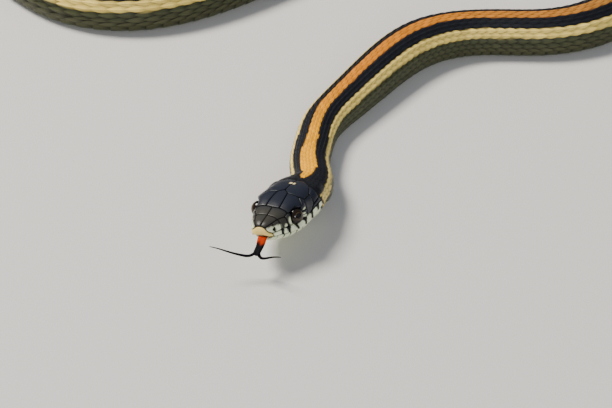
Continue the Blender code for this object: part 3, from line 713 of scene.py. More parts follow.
SIDE_SHIELDS = {
    "internasal": ["apex", "mid_front", "nasal_rear", "nasal_top", "apex_side"],
    "prefrontal": ["mid_front", "mid_brow", "frontal_front", "brow_front", "loreal_top", "nasal_rear"],
    "supraocular": ["frontal_front", "frontal_rear", "brow_rear"] + rims(128, 110, 90, 70, 52)
                   + ["brow_front"],
    "parietal": ["mid_rear", "nape", "parietal_end", "parietal_rear", "parietal_wide", "parietal_side",
                 "brow_rear", "frontal_rear"],
    "nasal_front": ["apex_side", "nasal_top"] + nostril_rim(90, 45, 0, -45, -90)
                   + ["nasal_low", "rostral_low", "rostral_side"],
    "nasal_back": ["nasal_top", "nasal_rear", "nasal_rear_low", "nasal_low"]
                  + nostril_rim(270, 225, 180, 135, 90),
    "loreal": ["nasal_rear", "loreal_top", "loreal_low", "nasal_rear_low"],
    "preocular": ["loreal_top", "brow_front"] + rims(402, 390, 375, 360, 345, 330) + ["loreal_low"],
    "postocular_high": ["brow_rear", "post_high"] + rims(170, 155, 140, 128),
    "postocular_mid": ["post_high", "post_mid"] + rims(200, 185, 170),
    "postocular_low": ["post_mid", "post_low"] + rims(228, 215, 200),
    "temporal_front": ["brow_rear", "parietal_side", "parietal_wide", "cheek_mid", "cheek_low", "post_low",
                       "post_mid", "post_high"],
    "temporal_high": ["parietal_wide", "parietal_rear", "cheek_rear", "cheek_mid"],
    "temporal_low": ["cheek_mid", "cheek_rear", "cheek_end", "cheek_rear_low", "cheek_low"],
    "lip_shield_1": upper_lip(0) + ["nasal_rear_low", "nasal_low", "rostral_low"],
    "lip_shield_2": upper_lip(1) + ["loreal_low", "nasal_rear_low"],
    "lip_shield_3": upper_lip(2) + rims(275, 290, 305, 318, 330) + ["loreal_low"],
    "lip_shield_4": upper_lip(3) + ["lip_5"] + rims(228, 245, 263, 275),
    "lip_shield_5": upper_lip(4) + ["cheek_low", "post_low", eye_rim(228), "lip_5"],
    "lip_shield_6": upper_lip(5) + ["cheek_rear_low", "cheek_low"],
    "lip_shield_7": upper_lip(6) + ["lip_8", "cheek_end", "cheek_rear_low"],
}
MIDDLE_SHIELDS = {
    "frontal": [("T", 5.3, -1.35), ("T", 5.2, 0.0), ("T", 5.3, 1.35), ("T", 9.45, 1.05), ("T", 10.6, 0.0),
                ("T", 9.45, -1.05)],
    "rostral": [("S", 1.25, 0.12), ("S", 1.0, 0.8), ("F", 1.42, 1.3), ("F", 0.8, 1.9), ("F", 0.0, 2.05),
                ("F", -0.8, 1.9), ("F", -1.42, 1.3), ("SL", 1.0, 0.8), ("SL", 1.25, 0.12), ("F", -1.62, 0.3),
                ("F", -1.2, 0.42), ("F", -0.4, 0.5), ("F", 0.3, 0.42), ("F", 0.9, 0.22), ("F", 1.62, 0.22)],
}
LOWER_SHIELDS = {f"lower_lip_{k + 1}": [lip_at(x, LOWER_LIP) for x in np.linspace(a, b, 6)]
                 + [lower_side(b), lower_side(a)]
                 for k, (a, b) in enumerate(zip(LOWER_SEAMS, LOWER_SEAMS[1:]))}
CHIN_SHIELDS = {
    "chin_front": [("U", 2.75, 0.03), ("U", 5.6, 0.03), ("U", 5.75, 1.2), ("U", 5.7, 1.75), ("U", 4.2, 1.62),
                   ("U", 2.75, 1.15)],
    "chin_rear": [("U", 5.7, 0.03), ("U", 8.4, 0.3), ("U", 9.6, 1.0), ("U", 9.0, 1.7), ("U", 7.3, 2.0),
                  ("U", 5.75, 1.75)],
}
MENTAL = [("F", -1.0, -0.25), ("F", -0.95, -0.45), ("U", 1.75, -0.75), ("U", 1.95, 0.0), ("U", 1.75, 0.75),
          ("F", 0.95, -0.45), ("F", 1.0, -0.25), ("F", 0.0, -0.28)]


class Shields:
    """Closed plates that follow the head, collected into one mesh."""

    def __init__(self, tree):
        self.tree = tree
        self.points, self.faces, self.paint, self.patches = [], [], [], []

    def place(self, spec):
        """Where a corner lies on the head."""
        spec = CORNERS.get(spec, spec)
        view, a, b = spec
        start, direction = VIEWS[view]
        hit = self.tree.ray_cast(Vector(start(a, b)), Vector(direction))[0]
        if hit is None:
            raise ValueError(f"corner {spec} misses the head")
        return hit

    def edge(self, a, b, height, step=0.3):
        """Places on the head between two corners, without the last."""
        count = max(1, int((b - a).length / step))
        found = []
        for k in range(count):
            here = a.lerp(b, k / count)
            core = heart_of(here.x, height)
            hit = self.tree.ray_cast(core, (here - core).normalized())[0]
            found.append(hit if hit is not None and (hit - here).length < 1.0 else here)
        return found

    def add(self, corners, height, colour_of, mirrored=False, rise=PLATE_RISE, gap=PLATE_GAP):
        """One plate through these corners; height is that of the axis it is seen from."""
        flip = Vector((1, -1 if mirrored else 1, 1))
        marks = [self.place(c) for c in corners]
        loop = [p for a, b in zip(marks, marks[1:] + marks[:1]) for p in self.edge(a, b, height)]
        core = heart_of(sum(p.x for p in loop) / len(loop), height)
        rays = unit(np.array([p - core for p in loop]))
        middle = unit(rays.mean(axis=0))
        e1 = unit(np.cross(middle, (0.0, 1.0, 0.3)))
        e2 = np.cross(middle, e1)
        scale = float(np.mean([(p - core).length for p in loop]))
        angle = np.arccos(np.clip(rays @ middle, -1, 1))
        flat = np.stack([rays @ e1, rays @ e2], axis=-1)
        flat = unit(flat) * angle[:, None] * scale
        if np.sum(flat[:, 0] * np.roll(flat[:, 1], -1) - flat[:, 1] * np.roll(flat[:, 0], -1)) < 0:
            flat = flat[::-1]
        outline_2d = rounded(flat, gap)
        spots, triangles, rim = filled(outline_2d)
        away = distance_to(spots, outline_2d)
        tops, roots = [], []
        for spot, d in zip(spots, away):
            a = math.hypot(*spot) / scale
            tangent = (e1 * spot[0] + e2 * spot[1]) / max(math.hypot(*spot), 1e-9)
            ray = Vector(middle * math.cos(a) + tangent * math.sin(a))
            hit, normal = self.tree.ray_cast(core, ray)[:2]
            if hit is None:
                hit, normal = core + ray * scale, ray
            outward = (normal if normal.dot(ray) > 0 else -normal)
            outward = (outward + ray).normalized()
            bulge = math.sqrt(max(0.0, 1 - (1 - min(d / PLATE_EDGE, 1.0)) ** 2))
            up = rise * bulge - PLATE_LAP * (1 - bulge) + PLATE_DOME * min(d / 1.2, 1.0)
            tops.append((hit + outward * up) * flip)
            roots.append((hit - outward * PLATE_ROOT) * flip)
        first = len(self.points)
        self.points += tops + [roots[i] for i in rim]
        under = first + len(tops)
        turn = -1 if mirrored else 1
        self.faces += [tuple(first + i for i in t)[::turn] for t in triangles]
        count = len(rim)
        for k in range(count):
            n = (k + 1) % count
            self.faces.append((first + rim[n], first + rim[k], under + k, under + n)[::turn])
        self.faces.append(tuple(under + k for k in range(count))[::-turn])
        on_head = np.array([tuple(p) for p in self.points[first:]])
        depth = np.concatenate([away, np.zeros(count)])
        self.paint.append(colour_of(on_head, depth))
        mid = on_head.mean(axis=0)
        root = bake_place(max(mid[0], 0.0), math.atan2(mid[1], mid[2] - height) / math.pi)
        spread = on_head[:, :2] - on_head[:, :2].min(axis=0)
        spread = spread / max(spread.max(), 1e-6)
        self.patches.append(root + (spread - 0.5) * PATCH)

    def build(self, name, material):
        """The plates as one object."""
        points = from_head(np.array([tuple(p) for p in self.points]))
        return new_object(name, points, self.faces, np.vstack(self.paint), np.vstack(self.patches),
                          material)


def heart_of(x, height):
    """The inside place that a shield at x is seen from."""
    return Vector((min(max(x, 2.6), 16.0), 0.0, height))


def rounded(flat, gap, step=0.13, rounds=3):
    """Outline at even steps with its corners rounded, drawn in by half the gap."""
    closed = np.vstack([flat, flat[:1]])
    length = np.linalg.norm(np.diff(closed, axis=0), axis=1).sum()
    points = resample(closed, max(12, int(length / step)))[:-1]
    for _ in range(rounds):
        points = (np.roll(points, 1, axis=0) + 2 * points + np.roll(points, -1, axis=0)) / 4
    return drawn_in(points, gap / 2)


def drawn_in(points, distance):
    """Outline moved inwards; it runs anticlockwise."""
    along = unit(np.roll(points, -1, axis=0) - np.roll(points, 1, axis=0))
    return points + np.stack([-along[:, 1], along[:, 0]], axis=-1) * distance


def distance_to(spots, loop):
    """Distance of each spot to the nearest edge of a loop."""
    a = loop[None]
    ab = (np.roll(loop, -1, axis=0) - loop)[None]
    ap = spots[:, None] - a
    t = np.clip((ap * ab).sum(-1) / np.maximum((ab * ab).sum(-1), 1e-12), 0, 1)
    return np.linalg.norm(ap - ab * t[..., None], axis=-1).min(axis=1)


def inside(spots, loop):
    """Whether each spot lies within a loop."""
    x, y = spots[:, :1], spots[:, 1:]
    x0, y0 = loop[None, :, 0], loop[None, :, 1]
    x1, y1 = np.roll(loop[:, 0], -1)[None], np.roll(loop[:, 1], -1)[None]
    crosses = ((y0 > y) != (y1 > y)) & (x < (x1 - x0) * (y - y0) / np.where(y1 == y0, 1e-12, y1 - y0) + x0)
    return crosses.sum(axis=1) % 2 == 1


def filled(loop):
    """Points and triangles that fill an outline, denser at its edge, and the rim's indices."""
    count = len(loop)
    layers = [loop]
    for d in (0.045, 0.11, 0.2):
        ring = drawn_in(loop, d)
        keep = inside(ring, loop)
        keep[keep] &= distance_to(ring[keep], loop) > 0.9 * d
        layers.append(ring[keep])
    low, high = loop.min(axis=0), loop.max(axis=0)
    xs, ys = np.meshgrid(np.arange(low[0], high[0], 0.3), np.arange(low[1], high[1], 0.26))
    xs = xs + (np.arange(xs.shape[0]) % 2)[:, None] * 0.15
    grid = np.column_stack([xs.ravel(), ys.ravel()])
    grid = grid[inside(grid, loop)]
    if len(grid):
        layers.append(grid[distance_to(grid, loop) > 0.3])
    spots = np.vstack(layers)
    made = geometry.delaunay_2d_cdt([Vector(p) for p in spots], [], [list(range(count))], 1, 1e-6)
    where = {}
    for new, olds in enumerate(made[3]):
        for old in olds:
            where[old] = new
    rim = [where[i] for i in range(count)]
    return np.array([tuple(p) for p in made[0]]), [tuple(t) for t in made[2]], rim


# Top of the pale lip at places back, and the pale spots round the eye: strength, place back and length,
# height and width
LIP_TOP = [(0, 0.9), (1.2, 0.9), (4.3, 1.05), (6.6, 1.2), (9.0, 1.05), (11.3, 1.2), (13.5, 1.75), (16, 2.0)]
PALE_SPOTS = [(0.8, 3.9, 0.5, 1.35, 0.45), (1.3, 4.95, 0.42, 1.9, 0.75), (1.3, 8.95, 0.42, 1.55, 0.5),
              (1.04, 8.95, 0.35, 2.75, 0.3)]


def rostral_marking(points, depth):
    """Colour of the snout's plate, darker towards its edge."""
    tone = 1 + rng.uniform(-0.06, 0.06)
    shade = 0.35 + 0.65 * ramp(0.0, 0.18, depth)
    return np.array(ROSTRAL) * (tone * shade)[:, None]


def head_marking(points, depth):
    """Colour on the head: black crown, grey snout, pale lips with dark bars, pale spots round the eye."""
    x, y, z = points[:, 0], np.abs(points[:, 1]), points[:, 2]
    colour = mix(CROWN_BLACK_WITH_SHEEN, SNOUT_GREY, fall(3.6, 6.4, x))
    lip_top = np.interp(x, *zip(*LIP_TOP))
    lip = fall(lip_top - 0.08, lip_top + 0.12, z)
    nasal = 0.75 * fall(1.9, 2.25, z) * fall(2.7, 3.2, x)
    spots = [strength * bell(x, back, long) * bell(z, up, high)
             for strength, back, long, up, high in PALE_SPOTS]
    side_face = ramp(1.2, 1.9, y + 0.35 * (1.2 - np.minimum(x, 1.2)))
    light = np.clip(np.maximum.reduce([lip, nasal, *spots]), 0, 1) * side_face
    colour = mix(colour, LIP, ramp(0.25, 0.75, light))
    seam = np.min([np.abs(x - edge + 0.12 * (z - 0.3)) for edge in LIP_SEAMS[1:]], axis=0)
    wide = 0.13 + 0.30 * np.clip((z - profile(MOUTH, x)) / 1.3, 0, 1)
    bar = fall(wide, wide + 0.12, seam) * ramp(2.4, 2.8, x)
    colour = mix(colour, BLUE_SHEEN_BLACK, bar * side_face * fall(lip_top + 0.1, lip_top + 0.3, z))
    shade = 0.35 + 0.65 * ramp(0.0, 0.16, depth)
    return colour * (shade * (1 + rng.uniform(-0.05, 0.05)))[:, None]


def parietal_marking(points, depth):
    """Crown colour with the pale spot beside the midline seam."""
    colour = head_marking(points, depth)
    spot = ((points[:, 0] - 13.6) / 0.42) ** 2 + ((np.abs(points[:, 1]) - 0.32) / 0.27) ** 2
    return mix(colour, SPOT, fall(0.7, 1.3, spot))


def jaw_marking(points, depth):
    """Lower jaw: pale, with a fine dark line at the lip shields' seams."""
    x, y = points[:, 0], np.abs(points[:, 1])
    seam = np.min([np.abs(x - edge) for edge in LOWER_SEAMS[1:]], axis=0)
    bar = fall(0.08, 0.2, seam) * ramp(1.2, 2.2, y) * ramp(3.0, 4.5, x)
    colour = mix(np.tile(LIP, (len(x), 1)), BLUE_SHEEN_BLACK, bar * 0.85)
    shade = 0.65 + 0.35 * ramp(0.0, 0.2, depth)
    return colour * (shade * (1 + rng.uniform(-0.04, 0.04)))[:, None]


def build_shields(tree, material):
    """Shields of the crown and upper lip, then those of the lower jaw."""
    upper = Shields(tree)
    for name, corners in SIDE_SHIELDS.items():
        marking = parietal_marking if name == "parietal" else head_marking
        flat = (CROWN_RISE, CROWN_GAP) if name in CROWN_SHIELDS else (PLATE_RISE, PLATE_GAP)
        for mirrored in (False, True):
            upper.add(corners, UPPER_HEART, marking, mirrored, *flat)
    upper.add(MIDDLE_SHIELDS["frontal"], UPPER_HEART, head_marking, False, CROWN_RISE, CROWN_GAP)
    upper.add(MIDDLE_SHIELDS["rostral"], ROSTRAL_HEART, rostral_marking)
    lower = Shields(tree)
    for corners in list(LOWER_SHIELDS.values()) + list(CHIN_SHIELDS.values()):
        for mirrored in (False, True):
            lower.add(corners, LOWER_HEART, jaw_marking, mirrored)
    lower.add(MENTAL, LOWER_HEART, jaw_marking)
    return upper.build("head_shields", material), lower.build("jaw_shields", material)


# Scales of the body and tail
ACROSS = np.array([-1.0, -0.68, -0.16, 0.0, 0.16, 0.68, 1.0])   # a keel stands between the middle three
ALONG = np.linspace(0.0, 1.0, 8)
SCALE_LENGTH = 1.62           # in pitches
SCALE_SPREAD = 1.2            # in row widths
SCALE_RISE = 0.26
SCALE_SUNK = 0.06
KEEL = 0.07
KEEL_HALF = 0.16
SCALE_ROOT = 0.47             # share of a scale before its place
COAT_PIECES = 5
FLOOR_GAP = 0.012
FULL_PITCH = 2.9
OUTER_ROW = 9


def leaf(v):
    """Half the width of a scale, from root to tip."""
    root = 0.6 + 0.4 * ramp(0.0, 0.42, v)
    tip = np.clip(1 - np.clip((v - 0.42) / 0.6, 0, 1) ** 2.2, 0, 1) ** 0.8
    return np.where(v < 0.42, root, tip)


def coat(name, table, colour_of, material, across=ACROSS, along=ALONG, length=SCALE_LENGTH, shape=leaf):
    """Many scales as one mesh; a row of the table is a scale's s, f, pitch, width, height and keel.

    A scale is a tube of crosswise rings: its top, then the right and the left end of its underside."""
    u, v = np.meshgrid(across, along)
    s0, f0, pitch, spread, height, keel = (a[:, None, None] for a in table.T)
    s = s0 + (v - SCALE_ROOT) * length * pitch
    f = f0 + u * shape(v) * spread / 2
    ridge = keel * KEEL * np.clip(1 - np.abs(u) / KEEL_HALF, 0, 1) * ramp(0.0, 0.25, v)
    ridge = ridge * fall(0.85, 1, v)
    dome = -0.3 * u ** 2 * ramp(0.0, 0.4, v) - 0.25 * ramp(0.9, 1.0, v)
    up = -SCALE_SUNK + SCALE_RISE * height * (v ** 0.9 + 0.32 * dome) + ridge * height
    within = np.clip(s, 0.3, TAIL_TIP - 0.3)
    turned = rolled(within, f)
    outward = surface_normal(within, turned)
    top = surface(within, turned) + outward * (up - skin_depth(s))[..., None]
    ends = [-1, 0]
    low = top[:, :, ends] - outward[:, :, ends] * (0.03 + 0.05 * height)[..., None]
    points = np.concatenate([top, low], axis=2)
    points[..., 2] = np.maximum(points[..., 2], FLOOR_GAP)
    u, v, s, f = (np.concatenate([a, a[..., ends]], axis=-1) for a in (u, v, s, f))
    paint = colour_of(s0, f0, s, f, u, v)
    patches = bake_place(s0, f0) + np.stack([v - 0.5, u * 0.5], axis=-1) * PATCH
    faces = [(a[0], *a[:0:-1]) for a in tube(len(across) + 2, len(along))]
    size = points[0].size // 3
    loops = (np.concatenate(faces)[None] + size * np.arange(len(table))[:, None]).ravel()
    sizes = np.tile([len(face) for face in faces], len(table))
    return packed_mesh(name, points.reshape(-1, 3), loops, sizes, paint.reshape(-1, 3),
                       patches.reshape(-1, 2), material)


def packed_mesh(name, points, loops, sizes, paint, patches, material):
    """Piece of a coat, straight from arrays, with crisp edges."""
    mesh = bpy.data.meshes.new(name)
    mesh.vertices.add(len(points))
    mesh.vertices.foreach_set("co", (points * MM).ravel())
    mesh.loops.add(len(loops))
    mesh.loops.foreach_set("vertex_index", loops)
    mesh.polygons.add(len(sizes))
    mesh.polygons.foreach_set("loop_start", np.concatenate([[0], np.cumsum(sizes)[:-1]]))
    mesh.update(calc_edges=True)
    mesh.validate()
    piece = dressed(name, mesh, paint, patches, material)
    mesh.set_sharp_from_angle(angle=math.radians(CRISP_ANGLE))
    return piece


def scale_size(pitch):
    """How high a scale stands, by its pitch."""
    return np.clip(pitch / FULL_PITCH, 0.2, 1.1) ** 0.75


def rows_of(s, *values):
    """Table with a row for each scale at distances s, and a column for each value."""
    return np.column_stack([np.broadcast_to(v, s.shape) for v in (s, *values)])


def transverse_rows():
    """Stations of the cross rows, each a pitch behind the one before."""
    stations = [8.0]
    while stations[-1] < TAIL_TIP - 1.5:
        stations.append(stations[-1] + float(profile(PITCH, stations[-1])))
    return np.array(stations)


def belly_edge(s):
    """Where the belly scutes begin, as a share of the half-turn."""
    return ROW_EDGE + (0.93 - ROW_EDGE) * fall(15.5, 30.0, s)


def row_layout(s):
    """Centre and width of each lengthwise row at distances s, as shares of the half-turn, and how much
    of its full width is left."""
    weights = []
    for r, width in enumerate(ROW_WIDTHS):
        fade = np.ones_like(s)
        if r in ROW_ENDS:
            fade = fall(ROW_ENDS[r] - ROW_FADE, ROW_ENDS[r] + ROW_FADE, s)
        weights.append(width * fade)
    total = weights[0] / 2 + sum(weights[1:])
    centres, edge = [0 * s], weights[0] / 2
    for w in weights[1:]:
        centres.append((edge + w / 2) / total * ROW_EDGE)
        edge = edge + w
    shares = [w / full for w, full in zip(weights, ROW_WIDTHS)]
    return centres, [w / total * ROW_EDGE for w in weights], shares


def scale_paint(s0, f0, s, f, u, v):
    """Colours of scales: the markings at each scale, with its own tone, painted shade at its edge and root,
    and a painted highlight along its keel.
    """
    own = np.abs(f0) * 0.25 + np.abs(f) * 0.75
    jitter = rng.normal(0, 0.006, s0.shape)
    colour = markings(s0 * 0.3 + s * 0.7, own + jitter)
    tone = 1 + rng.normal(0, 0.07, s0.shape)
    olive = (np.abs(f0) * HALF_TURN > 1.2) & (np.abs(f0) < ROW_EDGE)
    # painted shade towards the scale's edges, stronger on the olive flank
    edge = 1 - (0.22 + 0.23 * olive) * ramp(0.6, 1.0, np.abs(u))
    # painted shade over the root, which lies under the scale before
    root = 1 - (0.35 + 0.35 * olive) * fall(0.25, 0.62, v)
    # painted highlight along the keel
    keel_highlight = 1 + 0.12 * fall(0.05, 0.2, np.abs(u))
    return colour * (tone * edge * root * keel_highlight)[..., None]


def build_scales(material):
    """Rows of keeled scales over the back and flanks, in pieces along the body."""
    stations = transverse_rows()
    pitch = profile(PITCH, stations)
    found = []
    for r in range(-OUTER_ROW, OUTER_ROW + 1):
        k = abs(r)
        s = stations + (0.5 if r % 2 else 0.0) * pitch
        centres, widths, share = row_layout(s)
        keel = (1.0 if k < OUTER_ROW else 0.4) * ramp(14, 40, s)
        rows = rows_of(s, centres[k] * np.sign(r), pitch, widths[k] * SCALE_SPREAD, scale_size(pitch), keel)
        found.append(rows[(s > ROW_STARTS[k]) & (share[k] > 0.35) & (s < TAIL_TIP - 2.0)])
    table = np.vstack(found)
    table = table[np.argsort(table[:, 0], kind="stable")]
    return [coat(f"scales_{k + 1}", part, scale_paint, material)
            for k, part in enumerate(np.array_split(table, COAT_PIECES))]


THROAT_ROWS = (0.60, 0.652, 0.704, 0.756, 0.808, 0.86, 0.912, 0.956, 1.0)
THROAT_STARTS = ((0.6, 0.7, 0.8, 0.88, 0.98), (14.5, 8.0, 6.6, 8.6, 9.4))


def build_throat(material):
    """Small smooth scales between the jaw's shields and the first belly scutes."""
    found = []
    for k, f in enumerate(THROAT_ROWS):
        first = float(np.interp(f, *THROAT_STARTS))
        s = np.arange(first, 27.0 if k else 15.3, 1.25) + (0.6 if k % 2 else 0.0)
        s = s[(f < belly_edge(s) + 0.01) | (s < 17.2)]
        for side in (-1, 1) if f < 1 else (1,):
            found.append(rows_of(s, f * side, 1.3, 0.062, 0.45, 0.0))
    return coat("throat_scales", np.vstack(found), throat_paint, material)


def throat_paint(s0, f0, s, f, u, v):
    """Pale throat, shaded to the flank's colour behind, with painted shade at each scale's edge."""
    tone = 1 + rng.normal(0, 0.04, s0.shape)
    flank = markings(np.maximum(s, 22), f)
    colour = mix(LIP, flank, ramp(15, 24, s))
    # painted shade towards the scale's edges
    edge = 1 - 0.3 * ramp(0.6, 1.0, np.abs(u))
    return colour * (tone * edge)[..., None]


# Pointed end of the tail: how far it starts under the scales and how high its tip lies
TIP_START = 552.8
TIP_END = 557.9
TIP_SUNK = 0.24
TIP_RISE = 0.18
TIP_RINGS = 16
TIP_SIDES = 24


def build_tail_tip(material):
    """The pointed scale that ends the tail."""
    across, over = circle(TIP_SIDES)
    base, right, up = (a[0] for a in frames_at(np.array([TAIL_TIP - 0.5])))
    along = unit(base - frames_at(np.array([TIP_START]))[0][0])
    root = float(profile(WIDTH, TIP_START)) / 2
    points = []
    for share in np.linspace(0, 1, TIP_RINGS) ** 0.9:
        s = TIP_START + (TIP_END - TIP_START) * share
        beyond = s - TAIL_TIP + 0.5
        middle = base + along * beyond if beyond > 0 else frames_at(np.array([s]))[0][0]
        centre = middle + up * (root * 0.9 * (1 - share) + TIP_RISE * share)
        half = (root - TIP_SUNK) * (1 - share ** 1.7) + 0.03
        points.append(centre + half * (right * across + up * over))
    turn = np.tile(np.arccos(over[:, 0]) / math.pi, TIP_RINGS)
    paint = markings(np.full(len(turn), TAIL_TIP), turn) * 0.8
    return closed_piece("tail_tip", np.vstack(points), tube(TIP_SIDES, TIP_RINGS), paint, material)


SCUTE_START = 17.0
SCUTE_LAP = 0.03
SCUTE_RISE = 0.8


def block(v):
    """Outline of a belly scute: straight sides and a rounded rear edge."""
    return 1 - 0.05 * ramp(0.75, 1.0, v) ** 2 - 0.03 * fall(0, 0.3, v)


def scute_paint(s0, f0, s, f, u, v):
    """Belly scutes: pale, with a dark patch in their front corners and a paler rear edge."""
    turn = np.where(np.abs(f) > 1, 2 - np.abs(f), np.abs(f))
    colour = markings(s, np.maximum(turn, ROW_EDGE + 0.01))
    dark = fall(0.25, 0.6, v) * bell(np.abs(u), 0.9, 0.07)
    colour = mix(colour, BLUE_SHEEN_BLACK, dark * 0.75)
    shade = (1 + rng.normal(0, 0.03, s0.shape)) * (0.75 + 0.25 * ramp(0.2, 0.7, v))
    return colour * shade[..., None]


def build_scutes(material):
    """Belly scutes with the vent's plate, and the paired scutes under the tail."""
    stations = transverse_rows()
    stations = stations[stations > SCUTE_START]
    pitch = profile(PITCH, stations)
    edge = belly_edge(stations)
    size = scale_size(pitch) * SCUTE_RISE
    along = np.array([0.0, 0.3, 0.6, 0.85, 1.0])
    rows = rows_of(stations, 1.0, pitch, 2 * (1 - edge) + SCUTE_LAP, size, 0.0)[stations < VENT - 1.0]
    rows[-1, 2] *= 1.35
    front = coat("belly_scutes", rows, scute_paint, material, np.linspace(-1, 1, 25), along, 1.35, block)
    found = []
    for side in (-1, 1):
        s = stations + (0.5 * pitch if side > 0 else 0)
        rows = rows_of(s, side * (1 + edge) / 2, pitch, (1 - edge) + SCUTE_LAP, size, 0.0)
        found.append(rows[(s > VENT + 1.0) & (s < TAIL_TIP - 1.5)])
    rear = coat("tail_scutes", np.vstack(found), scute_paint, material, np.linspace(-1, 1, 9), along, 1.45)
    return front, rear


# Eyes
PUPIL = 0.62
PUPIL_BLACK = (0.002, 0.002, 0.004)
PUPIL_RING = (0.10, 0.055, 0.02)
IRIS = (0.014, 0.008, 0.005)
IRIS_BRIGHT = (0.26, 0.14, 0.07)
EYE_RIM = (0.003, 0.002, 0.002)
EYE_AXIS = (-0.60, 1.0, 0.40)
EYE_SIDES = 64
IRIS_REAR = (0.85, 0.0, -0.5)
FAR = 9.0                     # beyond the rim of the iris


def eye_paint(reach, rear):
    """Colours of the eye by distance from its axis: pupil, thin ring, brown iris, dark rim.

    The iris is paler towards the rear, where rear is 1, than in front, where it is -1."""
    colour = mix(PUPIL_BLACK, PUPIL_RING, ramp(PUPIL - 0.04, PUPIL + 0.02, reach))
    colour = mix(colour, IRIS, ramp(PUPIL + 0.03, PUPIL + 0.12, reach))
    colour = mix(colour, IRIS_BRIGHT, bell(reach, 1.02, 0.12) * ramp(-0.2, 0.8, rear))
    return mix(colour, EYE_RIM, ramp(1.14, 1.24, reach))


def build_eye(name, side, material):
    """One eyeball, turned a little forwards and up."""
    axis = unit(np.array(EYE_AXIS) * (1, side, 1))
    e1 = unit(np.cross(axis, (0.0, 0.0, 1.0)))
    e2 = np.cross(axis, e1)
    heart = np.array((EYE[0], side * EYE_HEART, EYE[1]))
    angles = np.concatenate([np.linspace(0.02, 1.0, 40), np.linspace(1.08, math.pi - 0.05, 14)])
    across, over = circle(EYE_SIDES)
    points, paint = [], []
    for angle in angles:
        ring = axis * math.cos(angle) + math.sin(angle) * (e1 * across + e2 * over)
        points.append(heart + ring * EYE_RADIUS)
        reach = EYE_RADIUS * math.sin(angle) if angle < math.pi / 2 else FAR
        paint.append(eye_paint(np.full(EYE_SIDES, reach), ring @ IRIS_REAR / math.sin(angle)))
    points = np.vstack(points + [heart + axis * EYE_RADIUS, heart - axis * EYE_RADIUS])
    paint = np.vstack(paint + [eye_paint(np.array([reach]), np.zeros(1)) for reach in (0.0, FAR)])
    front, back = len(points) - 2, len(points) - 1
    last = front - EYE_SIDES
    faces = tube_sides(EYE_SIDES, len(angles))
    for i in range(EYE_SIDES):
        n = (i + 1) % EYE_SIDES
        faces += [(front, i, n), (back, last + n, last + i)]
    return closed_piece(name, from_head(points), faces, paint, material)


# Tongue, on the head's axes
STEM = [(1.2, -0.35, 0.12), (0.0, -0.5, 0.0), (-1.45, -0.75, -0.8), (-2.4, -0.68, -1.55), (-3.2, -0.6, -2.2)]
STEM_WIDTH = (1.9, 1.45)
TINE_RIGHT = [(-2.6, -0.45, -1.75), (-3.3, 0.4, -2.3), (-4.0, 1.9, -2.2), (-4.9, 3.6, -1.6),
              (-6.2, 5.4, -0.6), (-7.5, 6.6, 0.2)]
TINE_LEFT = [(-2.5, -0.85, -1.75), (-3.0, -1.6, -2.5), (-2.95, -2.8, -2.35), (-3.1, -4.0, -1.85),
             (-3.85, -6.2, -1.05)]
TINE_WIDTH = (0.75, 0.16)
TONGUE_RED = (0.42, 0.030, 0.0)
TONGUE_BLACK = (0.003, 0.003, 0.005)
RED_END = -1.35
TONGUE_DEPTH = 0.5
STRAND_RINGS = 44
STRAND_SIDES = 20


def strand(line, widths, furrow):
    """Closed tapered ribbon along a line, with rounded ends and a furrow along its top."""
    places = smooth_curve(line, 0.05)
    share = np.linspace(0, 1, STRAND_RINGS)
    at = share * (len(places) - 1)
    centre = np.column_stack([np.interp(at, np.arange(len(places)), places[:, i]) for i in range(3)])
    along = unit(np.gradient(centre, axis=0))
    across = unit(np.cross(along, (0.0, 0.0, 1.0)))
    over = np.cross(across, along)
    wide, high = circle(STRAND_SIDES)
    half = (widths[0] + (widths[1] - widths[0]) * share ** 0.8) / 2
    half = half * np.sqrt(np.clip(1 - np.clip((share - 0.94) / 0.06, 0, 1) ** 2, 0.01, 1))
    deep = np.minimum(TONGUE_DEPTH / 2, half * 0.9)
    high = high * (1 - furrow * bell(wide, 0.0, 0.25))
    rings = [centre[k] + across[k] * half[k] * wide + over[k] * deep[k] * high for k in range(STRAND_RINGS)]
    return np.vstack(rings), tube(STRAND_SIDES, STRAND_RINGS)


def build_tongue(material):
    """Stem and two tines, red at the base and black beyond."""
    points, faces = [], []
    for line, widths, furrow in ((STEM, STEM_WIDTH, 0.45), (TINE_RIGHT, TINE_WIDTH, 0.0),
                                 (TINE_LEFT, TINE_WIDTH, 0.0)):
        made, sides = strand(line, widths, furrow)
        faces += [tuple(len(points) * len(made) + i for i in side) for side in sides]
        points.append(made)
    points = np.vstack(points)
    red = ramp(RED_END - 0.35, RED_END + 0.35, points[:, 0] + 0.2 * np.sin(points[:, 1] * 5))
    paint = mix(TONGUE_BLACK, TONGUE_RED, red)
    return closed_piece("tongue_soft", from_head(points), faces, paint, material)


# Materials
RELIEF = 0.00004


def node(tree, kind, **values):
    """New node of a material, with its inputs set."""
    made = tree.nodes.new("ShaderNode" + kind)
    for name, value in values.items():
        made.inputs[name.replace("_", " ")].default_value = value
    return made


